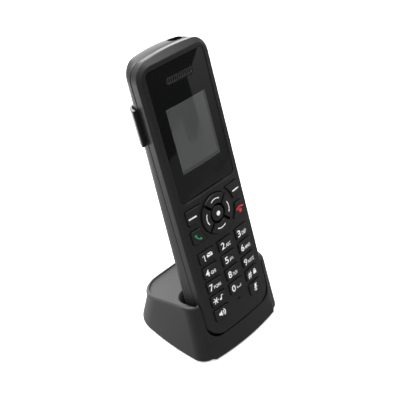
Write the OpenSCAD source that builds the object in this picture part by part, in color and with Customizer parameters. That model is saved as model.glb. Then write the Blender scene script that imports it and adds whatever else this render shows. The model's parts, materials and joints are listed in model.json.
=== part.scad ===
// Cordless telephone handset standing in its charging cradle.
// Millimetres. +X right, +Y to the back, +Z up. The origin is on the table,
// under the middle of the whole object's bounding box.

/* [Handset] */
// Width of the handset
handset_w = 52.5; // [50:0.5:56]
// Length of the handset along its own axis
handset_l = 164.8; // [160:0.2:170]
// Thickness of the handset at its bottom end
thick_bottom = 22.8; // [21:0.2:24]
// Thickness of the handset at its top end
thick_top = 16; // [15:0.2:18]
// Radius of the crowned front face, measured across the handset
face_r = 166; // [150:1:200]
// Depth of the joint line between the front and back shells
seam_depth = 7.7; // [7:0.1:8.5]
// Wall thickness of the handset's shells
shell_wall = 1.9; // [1.6:0.1:2.2]
// Lean of the handset and of the cradle's front, back from vertical
lean = 19; // [15:1:22]

/* [Keys] */
// Distance between number key columns
key_pitch_x = 14.6; // [14:0.1:15]
// Distance between number key rows
key_pitch_z = 9.38; // [9.2:0.02:9.6]
// Width of a number key's hole
key_hole_w = 11.5; // [11:0.1:12]
// Height of a number key's hole
key_hole_h = 7.25; // [7:0.05:7.5]
// Gap round a key in its hole
key_gap = 0.35; // [0.25:0.05:0.45]
// How far the keys stand above the face
key_proud = 0.8; // [0.6:0.1:1]
// How far the navigation ring stands above the face
nav_proud = 1.3; // [1:0.1:1.5]
// Centre of the navigation ring, above the bottom end
nav_s = 69.9; // [69:0.1:70.5]
// Radius of the navigation ring's hole
nav_r = 11.9; // [11.5:0.1:12.2]

/* [Display] */
// Half width of the glossy panel
panel_hw = 21.4; // [21:0.1:21.8]
// Bottom edge of the glossy panel
panel_s0 = 84.9; // [84:0.1:86]
// Top edge of the glossy panel
panel_s1 = 159.3; // [158:0.1:160]
// Width of the display's visible area
lcd_w = 29.3; // [28:0.1:31]
// Bottom edge of the display's visible area
lcd_s0 = 100.2; // [99:0.1:101]
// Top edge of the display's visible area
lcd_s1 = 137.1; // [136:0.1:138]

/* [Cradle] */
// Width of the cradle at the table
cradle_w = 70; // [68:0.2:74]
// Width of the cradle at its top face
cradle_top_w = 66.4; // [65:0.2:68]
// Depth of the cradle's top face, along its slope
cradle_top_d = 53.6; // [50:0.2:56]
// Corner radius at the back of the cradle
cradle_back_r = 18.5; // [15:0.5:20]
// Height of the cradle above the handset's bottom end
cradle_rise = 25; // [23:0.5:27]
// Height of the handset's bottom front edge above the table
seat_z = 13.9; // [13:0.1:15]
// Gap between the handset and its pocket
pocket_gap = 0.6; // [0.5:0.05:0.8]

/* [Belt clip] */
// Thickness of the clip's arms
clip_t = 2.8; // [2.4:0.1:3]
// Bottom of the clip's arms
clip_s0 = 122; // [120:1:124]
// Top of the clip's arms
clip_s1 = 142; // [140:1:144]
// Gap between the clip's tongue and the handset's back
clip_gap = 6; // [5.5:0.1:7]

/* [Hidden] */

half_w = handset_w / 2;
taper = atan((thick_bottom - thick_top) / handset_l);
side_r = 9;
end_r = 2.5;
face_bevel = 1.75;
bevel_depth = 3.5;
seam_gap = 0.2;
corner_top = 10;
corner_bottom = 9.5;
end_bow = 0.9;
eps = 0.01;

// The belt clip's top stands furthest back and the cradle's toe furthest
// forward; both are measured from the handset's bottom front edge.
toe_in = 0.7;
clip_out = clip_gap + clip_t;
clip_depth = thick_bottom + clip_out * cos(taper) - clip_s1 * sin(taper);
clip_height = clip_out * sin(taper) + clip_s1 * cos(taper);
toe_y = toe_in - seat_z * tan(lean);
rear_y = clip_height * sin(lean) + clip_depth * cos(lean);
face_y = -(toe_y + rear_y) / 2;

cradle_top = cradle_rise;
rim_drop = 0.9;
foot_h = 0.8;
wall = 2.2;

black = "#2b2b2c";
dark = "#1c1d1f";
board_green = "#1f4d33";
metal = "#b9b9b5";

// Thickness of the handset at height s above its bottom end
function thick_at(s) = thick_bottom - (thick_bottom - thick_top) * s / handset_l;

// Depth of the crowned face below its crest, at x from the middle
function crown(x) = face_r - sqrt(face_r * face_r - x * x);

function arc(cx, cy, r, a0, a1, n = 8) =
  [for (i = [0:n]) let (a = a0 + (a1 - a0) * i / n) [cx + r * cos(a), cy + r * sin(a)]];

// Front view of the handset, brought in by side_in at the sides and end_in at
// the ends; the top end is slightly bowed.
function outline(side_in, end_in) =
  let (
    hw = half_w - side_in,
    z0 = end_in,
    z1 = handset_l - end_in,
    rt = max(corner_top - side_in / 2, 1),
    rb = max(corner_bottom - side_in / 2, 1)
  )
  concat(
    arc(hw - rb, z0 + rb, rb, -90, 0),
    arc(hw - rt, z1 - rt, rt, 0, 90),
    [for (i = [1:7]) let (q = 1 - i / 4) [q * (hw - rt), z1 + end_bow * (1 - q * q)]],
    arc(rt - hw, z1 - rt, rt, 90, 180),
    arc(rb - hw, z0 + rb, rb, 180, 270)
  );

// Everything inside in_handset() is drawn in the handset's own frame:
// x across, y into the handset from the crest of its face, z up from its end.
module in_handset() {
  translate([0, face_y, seat_z])
    rotate([-lean, 0, 0])
      children();
}

// A plate that fills y0 to y1, with its outline in x and z
module plate(y0, y1) {
  translate([0, y1, 0])
    rotate([90, 0, 0])
      linear_extrude(y1 - y0)
        children();
}

module round_rect(x0, x1, z0, z1, r) {
  for (x = [x0 + r, x1 - r]) {
    for (z = [z0 + r, z1 - r]) {
      translate([x, z])
        circle(r, $fn = 32);
    }
  }
  translate([x0 + r, z0])
    square([x1 - x0 - 2 * r, z1 - z0]);
  translate([x0, z0 + r])
    square([x1 - x0, z1 - z0 - 2 * r]);
}

// Solid bounded in front by the crowned face moved out by grow
module crowned(grow) {
  translate([0, face_r, -60])
    cylinder(r = face_r + grow, h = handset_l + 120, $fn = 360);
}

// Outside of the handset, grown by g; slope is the lean of its back
module handset_form(g = 0, slope = taper) {
  hull() {
    plate(0, eps)
      polygon(outline(2 * face_bevel - g, 2 * face_bevel - g));
    plate(bevel_depth, bevel_depth + 1)
      polygon(outline(-g, -g));
    for (a = [0:15:90]) {
      translate([0, thick_bottom + g, 0])
        rotate([slope, 0, 0])
          translate([0, -side_r * (1 - sin(a)), 0])
            plate(-eps, 0)
              polygon(outline(side_r * (1 - cos(a)) - g, end_r * (1 - cos(a)) - g));
    }
  }
}

// Frame of the sloping back: y out of the back, z up along it
module on_back() {
  translate([0, thick_bottom, 0])
    rotate([taper, 0, 0])
      children();
}

/* --- handset: front --- */

key_x0 = -(key_pitch_x + key_hole_w / 2);
row_top = [54, 44.6, 35.2, 25.9, 16.5];
key_flange = 0.7;
key_back = 3.4;
key_post_r = 2;
mat_front = 3.9;
mat_web = 4.6;
board_front = 5.4;
board_t = 1;
face_wall = 1.4;
lens_drop = 0.35;
lens_t = 1.1;
ledge_t = 1;
nav_centre_r = 4.6;
nav_slot = 1.1;
ring_relief = 14.4;
side_key_x = 21.2;
soft_s0 = 71.4;
soft_s1 = 80.7;
call_s0 = 59.9;
call_s1 = 68.4;
mic_s = 13.6;
slot_s = 150.4;
slot_l = 19.4;
slot_h = 3.5;

module key_shape(col, row, inset) {
  x0 = key_x0 + col * key_pitch_x;
  round_rect(x0 + inset, x0 + key_hole_w - inset,
             row_top[row] - key_hole_h + inset, row_top[row] - inset, 0.9);
}

// Soft key or call key: a rounded bar with its inner end cut to the ring
module side_key_shape(side, s0, s1, inset) {
  difference() {
    mirror([side < 0 ? 1 : 0, 0])
      round_rect(5, side_key_x - inset, s0 + inset, s1 - inset, 1.4);
    translate([0, nav_s])
      circle(ring_relief + inset, $fn = 96);
  }
}

// One quarter of the navigation ring, facing the angle turn
module nav_shape(turn, inset) {
  translate([0, nav_s])
    rotate(turn)
      difference() {
        intersection() {
          circle(nav_r - inset, $fn = 96);
          translate([nav_slot / 2 + 1.42 * inset, 0])
            rotate(-45)
              square(nav_r * 2);
        }
        circle(nav_centre_r + nav_slot - 0.3 + inset, $fn = 64);
      }
}

module centre_shape(inset) {
  translate([0, nav_s])
    circle(nav_centre_r - inset, $fn = 64);
}

// All key holes in the face
module key_holes() {
  for (row = [0:3]) {
    for (col = [0:2]) {
      key_shape(col, row, 0);
    }
  }
  key_shape(0, 4, 0);
  key_shape(2, 4, 0);
  for (side = [-1, 1]) {
    side_key_shape(side, soft_s0, soft_s1, 0);
    side_key_shape(side, call_s0, call_s1, 0);
  }
  translate([0, nav_s])
    circle(nav_r, $fn = 96);
}

screw_xz = [[-15.5, 90.8], [15.5, 90.8], [-15.5, 143.8], [15.5, 143.8], [-4.9, 11.5], [4.9, 11.5]];
boss_r = 2.4;
boss_bore = 0.9;

module front_shell() {
  color(black) in_handset() {
    difference() {
      intersection() {
        handset_form();
        crowned(0);
        plate(-1, seam_depth)
          square([80, 400], center = true);
      }
      difference() {
        intersection() {
          handset_form(-shell_wall);
          union() {
            intersection() {
              crowned(-face_wall);
              translate([-40, -1, 0])
                cube([80, 40, 83.5]);
            }
            intersection() {
              crowned(-lens_drop - lens_t - ledge_t);
              translate([-40, -1, 83.4])
                cube([80, 40, 100]);
            }
          }
        }
        for (p = screw_xz) {
          translate([p[0], 0, p[1]])
            rotate([-90, 0, 0])
              cylinder(r = boss_r, h = board_front - 0.1, $fn = 32);
        }
      }
      // key holes
      plate(-5, 12)
        key_holes();
      // seat of the glossy panel
      difference() {
        plate(-5, 6)
          round_rect(-panel_hw - 0.1, panel_hw + 0.1, panel_s0 - 0.1, panel_s1 + 0.1, 3);
        crowned(-lens_drop - lens_t - 0.05);
      }
      // display and earpiece openings in the ledge behind the panel
      plate(-5, 12)
        square_at(-lcd_w / 2 - 0.8, lcd_w / 2 + 0.8, lcd_s0 - 0.8, lcd_s1 + 0.8);
      plate(-5, 12)
        round_rect(-slot_l / 2 - 0.5, slot_l / 2 + 0.5, slot_s - slot_h / 2 - 0.5,
                   slot_s + slot_h / 2 + 0.5, 1.9);
      // microphone slot
      plate(-5, 12)
        round_rect(-1, 1, mic_s - 0.55, mic_s + 0.55, 0.5);
      // pilot holes in the screw bosses
      for (p = screw_xz) {
        translate([p[0], 3.3, p[1]])
          rotate([-90, 0, 0])
            cylinder(r = boss_bore, h = 6, $fn = 32);
      }
    }
  }
}

module square_at(x0, x1, z0, z1) {
  translate([x0, z0])
    square([x1 - x0, z1 - z0]);
}

module display_lens() {
  color(dark) in_handset() {
    difference() {
      intersection() {
        crowned(-lens_drop);
        plate(-2, 6)
          round_rect(-panel_hw, panel_hw, panel_s0, panel_s1, 2.9);
      }
      crowned(-lens_drop - lens_t);
      plate(-2, 8)
        round_rect(-slot_l / 2, slot_l / 2, slot_s - slot_h / 2, slot_s + slot_h / 2, 1.7);
    }
  }
}

module display_module() {
  color("#4e5050") in_handset()
    translate([-lcd_w / 2 - 1.6, 3.5, lcd_s0 - 3])
      cube([lcd_w + 3.2, 1.7, lcd_s1 - lcd_s0 + 5]);
}

module display_frame() {
  color("#161616") in_handset()
    difference() {
      plate(3.5, board_front - 0.1)
        square_at(-lcd_w / 2 - 2.9, lcd_w / 2 + 2.9, lcd_s0 - 4.3, lcd_s1 + 3.3);
      plate(0, 12)
        square_at(-lcd_w / 2 - 1.7, lcd_w / 2 + 1.7, lcd_s0 - 3.1, lcd_s1 + 2.1);
    }
}

rib_pitch = 1.5;
rib_count = 12;

module earpiece_grille() {
  color("#3a3a3b") in_handset() {
    intersection() {
      crowned(-lens_drop - 0.15);
      difference() {
        plate(-2, 3.3)
          round_rect(-slot_l / 2 + 0.1, slot_l / 2 - 0.1, slot_s - slot_h / 2 + 0.1,
                     slot_s + slot_h / 2 - 0.1, 1.6);
        for (i = [0:rib_count - 1]) {
          translate([(i - (rib_count - 1) / 2) * rib_pitch, 0, slot_s])
            cube([0.75, 20, slot_h - 1.5], center = true);
        }
      }
    }
  }
}

module earpiece_speaker() {
  color(metal) in_handset()
    plate(3.5, board_front - 0.1)
      round_rect(-9, 9, slot_s - 4.5, slot_s + 4.5, 2);
}

module keypad_mat() {
  color("#55585a") in_handset() {
    difference() {
      plate(mat_web, board_front - 0.1)
        round_rect(-22, 22, 7.5, 82, 2);
      for (p = concat(screw_xz, [[0, mic_s]])) {
        plate(0, 12)
          translate(p)
            circle(boss_r + 0.3, $fn = 32);
      }
    }
    plate(mat_front, mat_web + 0.1)
      mat_pads();
  }
}

// Raised pads of the mat, one under each key
module mat_pads() {
  for (row = [0:4]) {
    for (col = [0:2]) {
      if (row < 4 || col != 1) {
        translate([(col - 1) * key_pitch_x, row_top[row] - key_hole_h / 2])
          circle(key_post_r, $fn = 32);
      }
    }
  }
  for (x = [-17.8, 17.8]) {
    for (s = [(soft_s0 + soft_s1) / 2, (call_s0 + call_s1) / 2]) {
      translate([x, s])
        circle(key_post_r, $fn = 32);
    }
  }
  for (a = [0:90:270]) {
    translate([9 * cos(a), nav_s + 9 * sin(a)])
      circle(1.6, $fn = 32);
  }
  translate([0, nav_s])
    circle(key_post_r, $fn = 32);
}

module main_board() {
  color(board_green) in_handset()
    difference() {
      plate(board_front, board_front + board_t)
        round_rect(-23.4, 23.4, 7, 158, 4);
      for (p = screw_xz) {
        plate(0, 12)
          translate(p)
            circle(1.4, $fn = 32);
      }
    }
}

module shield_can() {
  color(metal) in_handset()
    translate([-12, board_front + board_t + 0.1, 118])
      cube([20, 2.4, 18]);
}

module microphone() {
  color(metal) in_handset()
    translate([0, board_front - 0.1, mic_s])
      rotate([90, 0, 0])
        cylinder(r = 2, h = 2.2, $fn = 48);
}

/* --- handset: back --- */

jack_x = 12.5;
jack_depth = 11.4;
jack_bore_r = 1.8;
jack_len = 12;
bay_s0 = 34;
bay_s1 = 84;
bay_hw = 11.6;
door_s0 = 31.5;
door_s1 = 86.5;
door_hw = 15.5;
door_t = 1.5;
door_gap = 0.25;
cell_r = 5.25;
cell_l = 44.5;
cell_axis = door_t + 0.35 + cell_r;
bay_floor = cell_axis + cell_r + 0.15;
contact_x = 7;
contact_depth = 11;
contact_hw = 3;
contact_hd = 1.7;
contact_s = 0.05;
speaker_s = 104;
tab_x = [-9, 9];
tab_hw = 2.5;
tab_len = 1.6;

module back_shell() {
  color("#343435") in_handset() {
    difference() {
      intersection() {
        handset_form();
        plate(seam_depth + seam_gap, 60)
          square([80, 400], center = true);
      }
      difference() {
        handset_form(-shell_wall);
        // floor and side walls of the battery bay
        on_back()
          translate([-bay_hw - 1.2, -bay_floor - 0.6, bay_s0 - 1.6])
            cube([2 * bay_hw + 2.4, bay_floor + 1, bay_s1 - bay_s0 + 3.2]);
        // screw bosses
        for (p = screw_xz) {
          translate([p[0], board_front + board_t + 0.2, p[1]])
            rotate([-90, 0, 0])
              cylinder(r = boss_r + 0.6, h = 30, $fn = 32);
        }
        // rails that the charge contacts snap into
        for (x = [-contact_x, contact_x]) {
          translate([x - contact_hw - 1, contact_depth - contact_hd - 1, 0])
            cube([2 * contact_hw + 2, 2 * contact_hd + 2, 3]);
        }
        // sleeve of the headset socket
        translate([jack_x, jack_depth, handset_l - jack_len - 3])
          cylinder(r = 4, h = jack_len + 6, $fn = 48);
      }
      // battery bay
      on_back()
        translate([-bay_hw, -bay_floor, bay_s0])
          cube([2 * bay_hw, bay_floor + 5, bay_s1 - bay_s0]);
      // seat of the battery door
      on_back()
        plate(-door_t - 0.15, 5)
          square_at(-door_hw - door_gap, door_hw + door_gap, door_s0 - door_gap, door_s1 + door_gap);
      // pockets under the lower lip for the door's tabs
      for (x = tab_x) {
        on_back()
          translate([x - tab_hw - 0.3, -2.9, door_s0 - tab_len - 0.8])
            cube([2 * tab_hw + 0.6, 1.9, tab_len + 4]);
      }
      // contact windows in the bottom end
      for (x = [-contact_x, contact_x]) {
        translate([x - contact_hw - 0.15, contact_depth - contact_hd - 0.15, -2])
          cube([2 * contact_hw + 0.3, 2 * contact_hd + 0.3, 6]);
      }
      // headset socket: recess in the top end and its through hole
      translate([jack_x, jack_depth, handset_l - jack_len - 5])
        cylinder(r = 3.15, h = jack_len + 5 - 1.1, $fn = 48);
      translate([0, 0, handset_l - 1.2])
        linear_extrude(4)
          jack_recess();
      translate([jack_x - 3.7, board_front, handset_l - jack_len - 5.7])
        cube([7.4, jack_depth - board_front + 2.9, 4.9]);
      // screw holes, counterbored from the back
      for (p = screw_xz) {
        translate([p[0], 0, p[1]])
          rotate([-90, 0, 0])
            cylinder(r = 1.25, h = 40, $fn = 32);
        translate([p[0], thick_at(p[1]) - 6.55, p[1]])
          rotate([-90, 0, 0])
            cylinder(r = 2.3, h = 40, $fn = 32);
      }
      // sound slots of the loudspeaker
      for (i = [-3:3]) {
        on_back()
          plate(-6, 2)
            round_rect(-5.5, 5.5, speaker_s + 2.2 * i - 0.5, speaker_s + 2.2 * i + 0.5, 0.45);
      }
    }
  }
}

module jack_recess() {
  hull() {
    for (x = [-2, 2]) {
      translate([jack_x + x, jack_depth])
        circle(2.4, $fn = 32);
    }
  }
}

module headset_jack() {
  color("#101010") in_handset()
    difference() {
      union() {
        translate([jack_x, jack_depth, handset_l - jack_len - 1.6])
          cylinder(r = 3, h = jack_len, $fn = 48);
        translate([jack_x - 3.5, board_front + board_t + 0.1, handset_l - jack_len - 5.5])
          cube([7, jack_depth - board_front - board_t + 2.6, 4.5]);
      }
      translate([jack_x, jack_depth, handset_l - jack_len - 1.6])
        cylinder(r = jack_bore_r, h = jack_len + 5, $fn = 48);
    }
}

module loudspeaker() {
  color("#1a1a1a") in_handset()
    on_back()
      translate([0, -shell_wall - 0.15, speaker_s])
        rotate([90, 0, 0])
          cylinder(r = 9.5, h = 4.2, $fn = 64);
}

module battery_cells() {
  color("#3f7f4f") in_handset()
    on_back()
      for (side = [-1, 1]) {
        translate([side * (cell_r + 0.2), -cell_axis, (bay_s0 + bay_s1 - cell_l) / 2])
          union() {
            cylinder(r = cell_r, h = cell_l - 1, $fn = 64);
            translate([0, 0, side > 0 ? cell_l - 1.01 : -1])
              cylinder(r = 1.9, h = 1.01, $fn = 32);
          }
      }
}

module battery_contacts() {
  color(metal) in_handset()
    on_back()
      for (side = [-1, 1]) {
        for (s = [bay_s0 + 0.1, bay_s1 - 0.5]) {
          translate([side * (cell_r + 0.2) - 4.2, -cell_axis - 4, s])
            cube([8.4, 8, 0.4]);
        }
        translate([side * (cell_r + 0.2), -cell_axis, side > 0 ? bay_s0 + 0.5 : bay_s1 - 0.5])
          mirror([0, 0, side > 0 ? 0 : 1])
            cylinder(r1 = 3, r2 = 2, h = 1.1, $fn = 32);
      }
}

module charge_contacts() {
  color("#c8a24a") in_handset()
    for (x = [-contact_x, contact_x]) {
      translate([x - contact_hw, contact_depth - contact_hd, contact_s])
        cube([2 * contact_hw, 2 * contact_hd, 0.5]);
      translate([x - 1.2, board_front + board_t + 0.1, contact_s + 3])
        cube([2.4, contact_depth - board_front - board_t, 0.5]);
      translate([x - 1.2, contact_depth - 0.5, contact_s])
        cube([2.4, 0.5, 3.4]);
    }
}

module shell_screws() {
  color(metal) in_handset()
    for (p = screw_xz) {
      translate([p[0], 0, p[1]])
        difference() {
          union() {
            translate([0, 3.6, 0])
              rotate([-90, 0, 0])
                cylinder(r = boss_bore, h = thick_at(p[1]) - 6.5 - 3.6, $fn = 32);
            translate([0, thick_at(p[1]) - 6.52, 0])
              rotate([-90, 0, 0])
                cylinder(r = 1.9, h = 1.32, $fn = 32);
          }
          for (a = [0, 90]) {
            translate([0, thick_at(p[1]) - 5.2, 0])
              rotate([0, a, 0])
                cube([2.4, 1.4, 0.5], center = true);
          }
        }
    }
}

module battery_door() {
  color("#303031") in_handset()
    on_back()
      difference() {
        union() {
          plate(-door_t, 0)
            round_rect(-door_hw, door_hw, door_s0, door_s1, 1.5);
          for (x = tab_x) {
            translate([x - tab_hw, -2.1, door_s0 - tab_len])
              cube([2 * tab_hw, 0.9, tab_len + 2]);
          }
        }
        // finger notch and grip grooves at the upper end
        plate(-0.8, 3)
          round_rect(-6, 6, door_s1 - 3, door_s1 + 3, 1.4);
        for (i = [0:3]) {
          translate([-8, -0.4, door_s1 - 6 - 1.8 * i])
            cube([16, 1, 0.8]);
        }
      }
}

/* --- belt clip --- */

clip_fit = 0.3;
clip_round = 3.6;
tongue_hw = 9;
tongue_end = 90;
clip_root = 8;

// Cross-section of the handset at the clip, grown by g; more rounds its
// corners further
module clip_section(g, more = 0) {
  t = thick_at(clip_s0) + 0.1;
  hull() {
    for (side = [-1, 1]) {
      translate([side * (half_w - side_r - more), t - side_r - more])
        circle(side_r + g + more, $fn = 64);
      translate([side * (half_w + g - 0.5) - 0.5, seam_depth + 0.7])
        square([1, 1]);
    }
  }
}

module belt_clip() {
  color("#3c3c3d") in_handset() {
    // yoke that hugs the back and both sides
    translate([0, 0, clip_s0])
      linear_extrude(clip_s1 - clip_s0)
        difference() {
          clip_section(clip_fit + clip_t, clip_round);
          clip_section(clip_fit);
          translate([-40, -40])
            square([80, 40 + seam_depth + 0.7]);
        }
    // tongue that hangs down over the back
    on_back()
      difference() {
        union() {
          translate([-tongue_hw, clip_fit + 1, clip_s1 - clip_root])
            cube([2 * tongue_hw, clip_gap + clip_t - clip_fit - 1, clip_root]);
          plate(clip_gap, clip_gap + clip_t)
            round_rect(-tongue_hw, tongue_hw, tongue_end, clip_s1, 3);
          translate([-tongue_hw + 2, clip_gap - 1.4, tongue_end + 2])
            cube([2 * tongue_hw - 4, 2, 3]);
        }
        for (i = [0:4]) {
          translate([-6, clip_gap + clip_t - 0.5, tongue_end + 6 + 2.4 * i])
            cube([12, 2, 1.1]);
        }
      }
  }
}

/* --- keys --- */

// A key cap: its face follows the crown, and a flange behind keeps it in
module key_cap(proud = key_proud) {
  in_handset() {
    intersection() {
      crowned(proud);
      plate(-3, key_back)
        children(0);
    }
    intersection() {
      crowned(-face_wall - 0.15);
      plate(-3, key_back)
        children(1);
    }
  }
}

module number_key(col, row) {
  color(black) key_cap() {
    key_shape(col, row, key_gap);
    key_shape(col, row, -key_flange);
  }
}

module side_key(side, s0, s1) {
  color(black) key_cap() {
    side_key_shape(side, s0, s1, key_gap);
    side_key_shape(side, s0, s1, key_gap - 0.01);
  }
}

module nav_key(turn) {
  color(black) key_cap(nav_proud) {
    nav_shape(turn, key_gap);
    nav_shape(turn, key_gap - 0.01);
  }
}

module nav_centre() {
  color(black) key_cap(nav_proud) {
    centre_shape(0);
    centre_shape(-0.01);
  }
}

/* --- cradle --- */

board_z = 6.4;
plate_z = foot_h;
plate_t = 1.6;
foot_x = 24;
foot_r = 4.2;
carrier_s = -2.6;
carrier_h = 4;
pin_r = 1;
pin_bore = 1.05;
pin_tip = -0.5;
pin_flange = 1.5;
inlet_z = 8.2;
inlet_w = 7.6;
inlet_h = 2.9;

// Plan of the cradle at the table, brought in by g
function plan(g) =
  let (
    hw = cradle_w / 2 - g,
    rb = cradle_back_r - g,
    rf = 8.5 - g,
    back = cradle_back_y - g,
    front = face_y + toe_y + g,
    y0 = front + rf + crown(hw),
    y1 = back - rb
  )
  concat(
    arc(hw - rf, y0, rf, -80, 0),
    [for (q = [-0.25:0.25:0.25]) [hw + side_bow * (1 - 4 * q * q), (y0 + y1) / 2 + q * (y1 - y0)]],
    arc(hw - rb, y1, rb, 0, 90, 12),
    arc(rb - hw, y1, rb, 90, 180, 12),
    [for (q = [-0.25:0.25:0.25]) [-hw - side_bow * (1 - 4 * q * q), (y0 + y1) / 2 - q * (y1 - y0)]],
    arc(rf - hw, y0, rf, 180, 260),
    [for (q = [-0.75:0.25:0.75]) [q * hw, front + crown(q * hw)]]
  );

// Plan of the cradle's top face, in the handset's frame; front_in brings in
// only its front edge
function top_plan(g, front_in = 0) =
  let (
    hw = cradle_top_w / 2 - g,
    rb = cradle_back_r - g,
    rf = 7 - g,
    front = g + front_in
  )
  concat(
    arc(hw - rf, front + rf + crown(hw), rf, -80, 0),
    arc(hw - rb, cradle_top_d - g - rb, rb, 0, 90, 12),
    arc(rb - hw, cradle_top_d - g - rb, rb, 90, 180, 12),
    arc(rf - hw, front + rf + crown(hw), rf, 180, 260),
    [for (q = [-0.75:0.25:0.75]) [q * hw, front + crown(q * hw)]]
  );

cradle_back_y = face_y + 60.6;
side_bow = 0.9;
edge_r = 1.4;
ear_drop = 3.6;
ear_slope = 6;

// How far the top edge is rounded in at depth d below the top face: at the
// sides and back by a small radius, at the front by a longer slope
function edge_in(d) = d > edge_r ? 0 : edge_r - sqrt(edge_r * edge_r - (edge_r - d) * (edge_r - d));
function ear_in(d) = d > ear_drop ? 0 : ear_slope * (1 - sqrt(1 - (1 - d / ear_drop) * (1 - d / ear_drop)));

// Outside of the cradle, brought in by g; its top edge is rounded
module cradle_form(g, z0) {
  hull() {
    translate([0, 0, z0])
      linear_extrude(eps)
        polygon(plan(g));
    for (d = [0, 0.15, 0.45, 0.9, edge_r, 2.4, ear_drop]) {
      in_handset()
        translate([0, 0, cradle_top - g - d])
          linear_extrude(eps)
            polygon(top_plan(g + edge_in(d), ear_in(d)));
    }
  }
}

// The pocket: the handset's lower end, opened to the front and upwards
module pocket(g) {
  hull() {
    plate(-8, bevel_depth)
      polygon(pocket_outline(-g));
    for (a = [0:15:90]) {
      translate([0, thick_bottom + g - side_r * (1 - sin(a)), 0])
        plate(-eps, 0)
          polygon(pocket_outline(side_r * (1 - cos(a)) - g, end_r * (1 - cos(a)) - g));
    }
  }
}

pocket_corner = 8.6;
pocket_drop = 0.5;

function pocket_outline(side_in, end_in = undef) =
  let (
    e = (is_undef(end_in) ? side_in : end_in) - pocket_drop,
    hw = half_w - side_in,
    rb = max(pocket_corner - side_in / 2, 1)
  )
  concat(
    arc(hw - rb, e + rb, rb, -90, 0),
    [[hw, 60], [-hw, 60]],
    arc(rb - hw, e + rb, rb, 180, 270)
  );

// Flared mouth of the pocket, behind the ears
module pocket_mouth() {
  flare = 3;
  hull() {
    for (step = [[cradle_top - 7, pocket_gap], [cradle_top - 2.5, 1.6], [cradle_top + 4, flare + 2.2]]) {
      translate([0, 0, step[0]])
        linear_extrude(eps)
          intersection() {
            mouth_section(step[1]);
            translate([-50, 5.2])
              square([100, 60]);
          }
    }
  }
}

module mouth_section(g) {
  for (side = [-1, 1]) {
    translate([side * (half_w - side_r), thick_bottom - side_r])
      circle(side_r + g, $fn = 48);
  }
  translate([-half_w - g, 0])
    square([2 * (half_w + g), thick_bottom - side_r]);
  translate([side_r - half_w, 0])
    square([2 * (half_w - side_r), thick_bottom + g]);
}

base_screw_xy = [[-26, face_y + 16], [26, face_y + 16], [-18, face_y + 50], [18, face_y + 50]];

module cradle_shell() {
  color("#333334")
    difference() {
      union() {
        difference() {
          intersection() {
            cradle_form(0, plate_z);
            in_handset()
              crowned(0);
          }
          intersection() {
            cradle_form(wall, plate_z - 1);
            in_handset()
              crowned(-wall);
          }
        }
        // walls of the pocket and of its flared mouth, and the screw bosses
        intersection() {
          cradle_form(0.5, plate_z + 2);
          union() {
            in_handset()
              intersection() {
                crowned(-0.5);
                union() {
                  pocket(pocket_gap + 1.9);
                  translate([-31.5, 4, cradle_top - 8])
                    cube([63, thick_bottom + 2, 8]);
                }
              }
            for (p = base_screw_xy) {
              translate([p[0], p[1], plate_z])
                cylinder(r = 3, h = 40, $fn = 32);
            }
          }
        }
      }
      in_handset() {
        pocket(pocket_gap);
        pocket_mouth();
        // dished top face inside a raised rim
        translate([0, 0, cradle_top - rim_drop])
          linear_extrude(10)
            polygon(top_plan(2.6));
        // holes for the charging pins and their carrier
        for (x = [-contact_x, contact_x]) {
          translate([x, contact_depth, -12])
            cylinder(r = 1.3, h = 14, $fn = 32);
        }
        translate([-contact_x - 4.2, contact_depth - 3.7, carrier_s - 14])
          cube([2 * contact_x + 8.4, 7.4, 14]);
      }
      for (p = base_screw_xy) {
        translate([p[0], p[1], 0])
          cylinder(r = 1, h = 9, $fn = 32);
      }
      // seat of the base plate
      translate([0, 0, -1])
        linear_extrude(plate_z + 1 + plate_t + 0.1)
          polygon(plan(1.3));
      // window of the power inlet
      translate([-inlet_w / 2 - 0.3, cradle_back_y - 12, inlet_z - inlet_h / 2 - 0.3])
        cube([inlet_w + 0.6, 20, inlet_h + 0.6]);
    }
}

module cradle_base_plate() {
  color("#2a2a2b")
    difference() {
      union() {
        translate([0, 0, plate_z])
          linear_extrude(plate_t)
            polygon(plan(1.55));
        // posts for the charging board
        for (x = [-9, 9]) {
          translate([x, face_y + 44, plate_z])
            cylinder(r = 2.2, h = board_z - plate_z - 0.1, $fn = 32);
        }
      }
      for (p = base_screw_xy) {
        translate([p[0], p[1], plate_z - 1])
          cylinder(r = 1.3, h = 4, $fn = 32);
        translate([p[0], p[1], plate_z - 1])
          cylinder(r = 2.3, h = 1.9, $fn = 32);
      }
      foot_sites()
        cylinder(r = foot_r + 0.1, h = 0.5, $fn = 48);
    }
}

// Places of the four feet, at the underside of the base plate
module foot_sites() {
  for (x = [-foot_x, foot_x]) {
    for (y = [face_y + 4, face_y + 44]) {
      translate([x * (y > face_y + 20 ? 0.82 : 1), y, plate_z])
        children();
    }
  }
}

module cradle_feet() {
  color("#1b1b1b")
    foot_sites()
      translate([0, 0, -plate_z])
        cylinder(r = foot_r, h = plate_z + 0.45, $fn = 48);
}

module cradle_screws() {
  color(metal)
    for (p = base_screw_xy) {
      translate([p[0], p[1], plate_z + 0.15])
        union() {
          cylinder(r = 2, h = 0.7, $fn = 32);
          cylinder(r = 1, h = 7, $fn = 32);
        }
    }
}

module cradle_ballast() {
  color("#7d8084")
    translate([0, face_y + 47, plate_z + plate_t + 0.05])
      difference() {
        translate([-14, -13, 0])
          cube([28, 20, 3]);
        for (x = [-9, 9]) {
          translate([x, -3, -1])
            cylinder(r = 2.6, h = 8, $fn = 32);
        }
      }
}

module charge_board() {
  color(board_green)
    translate([-13, face_y + 38, board_z])
      cube([26, 19, 1]);
}

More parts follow.
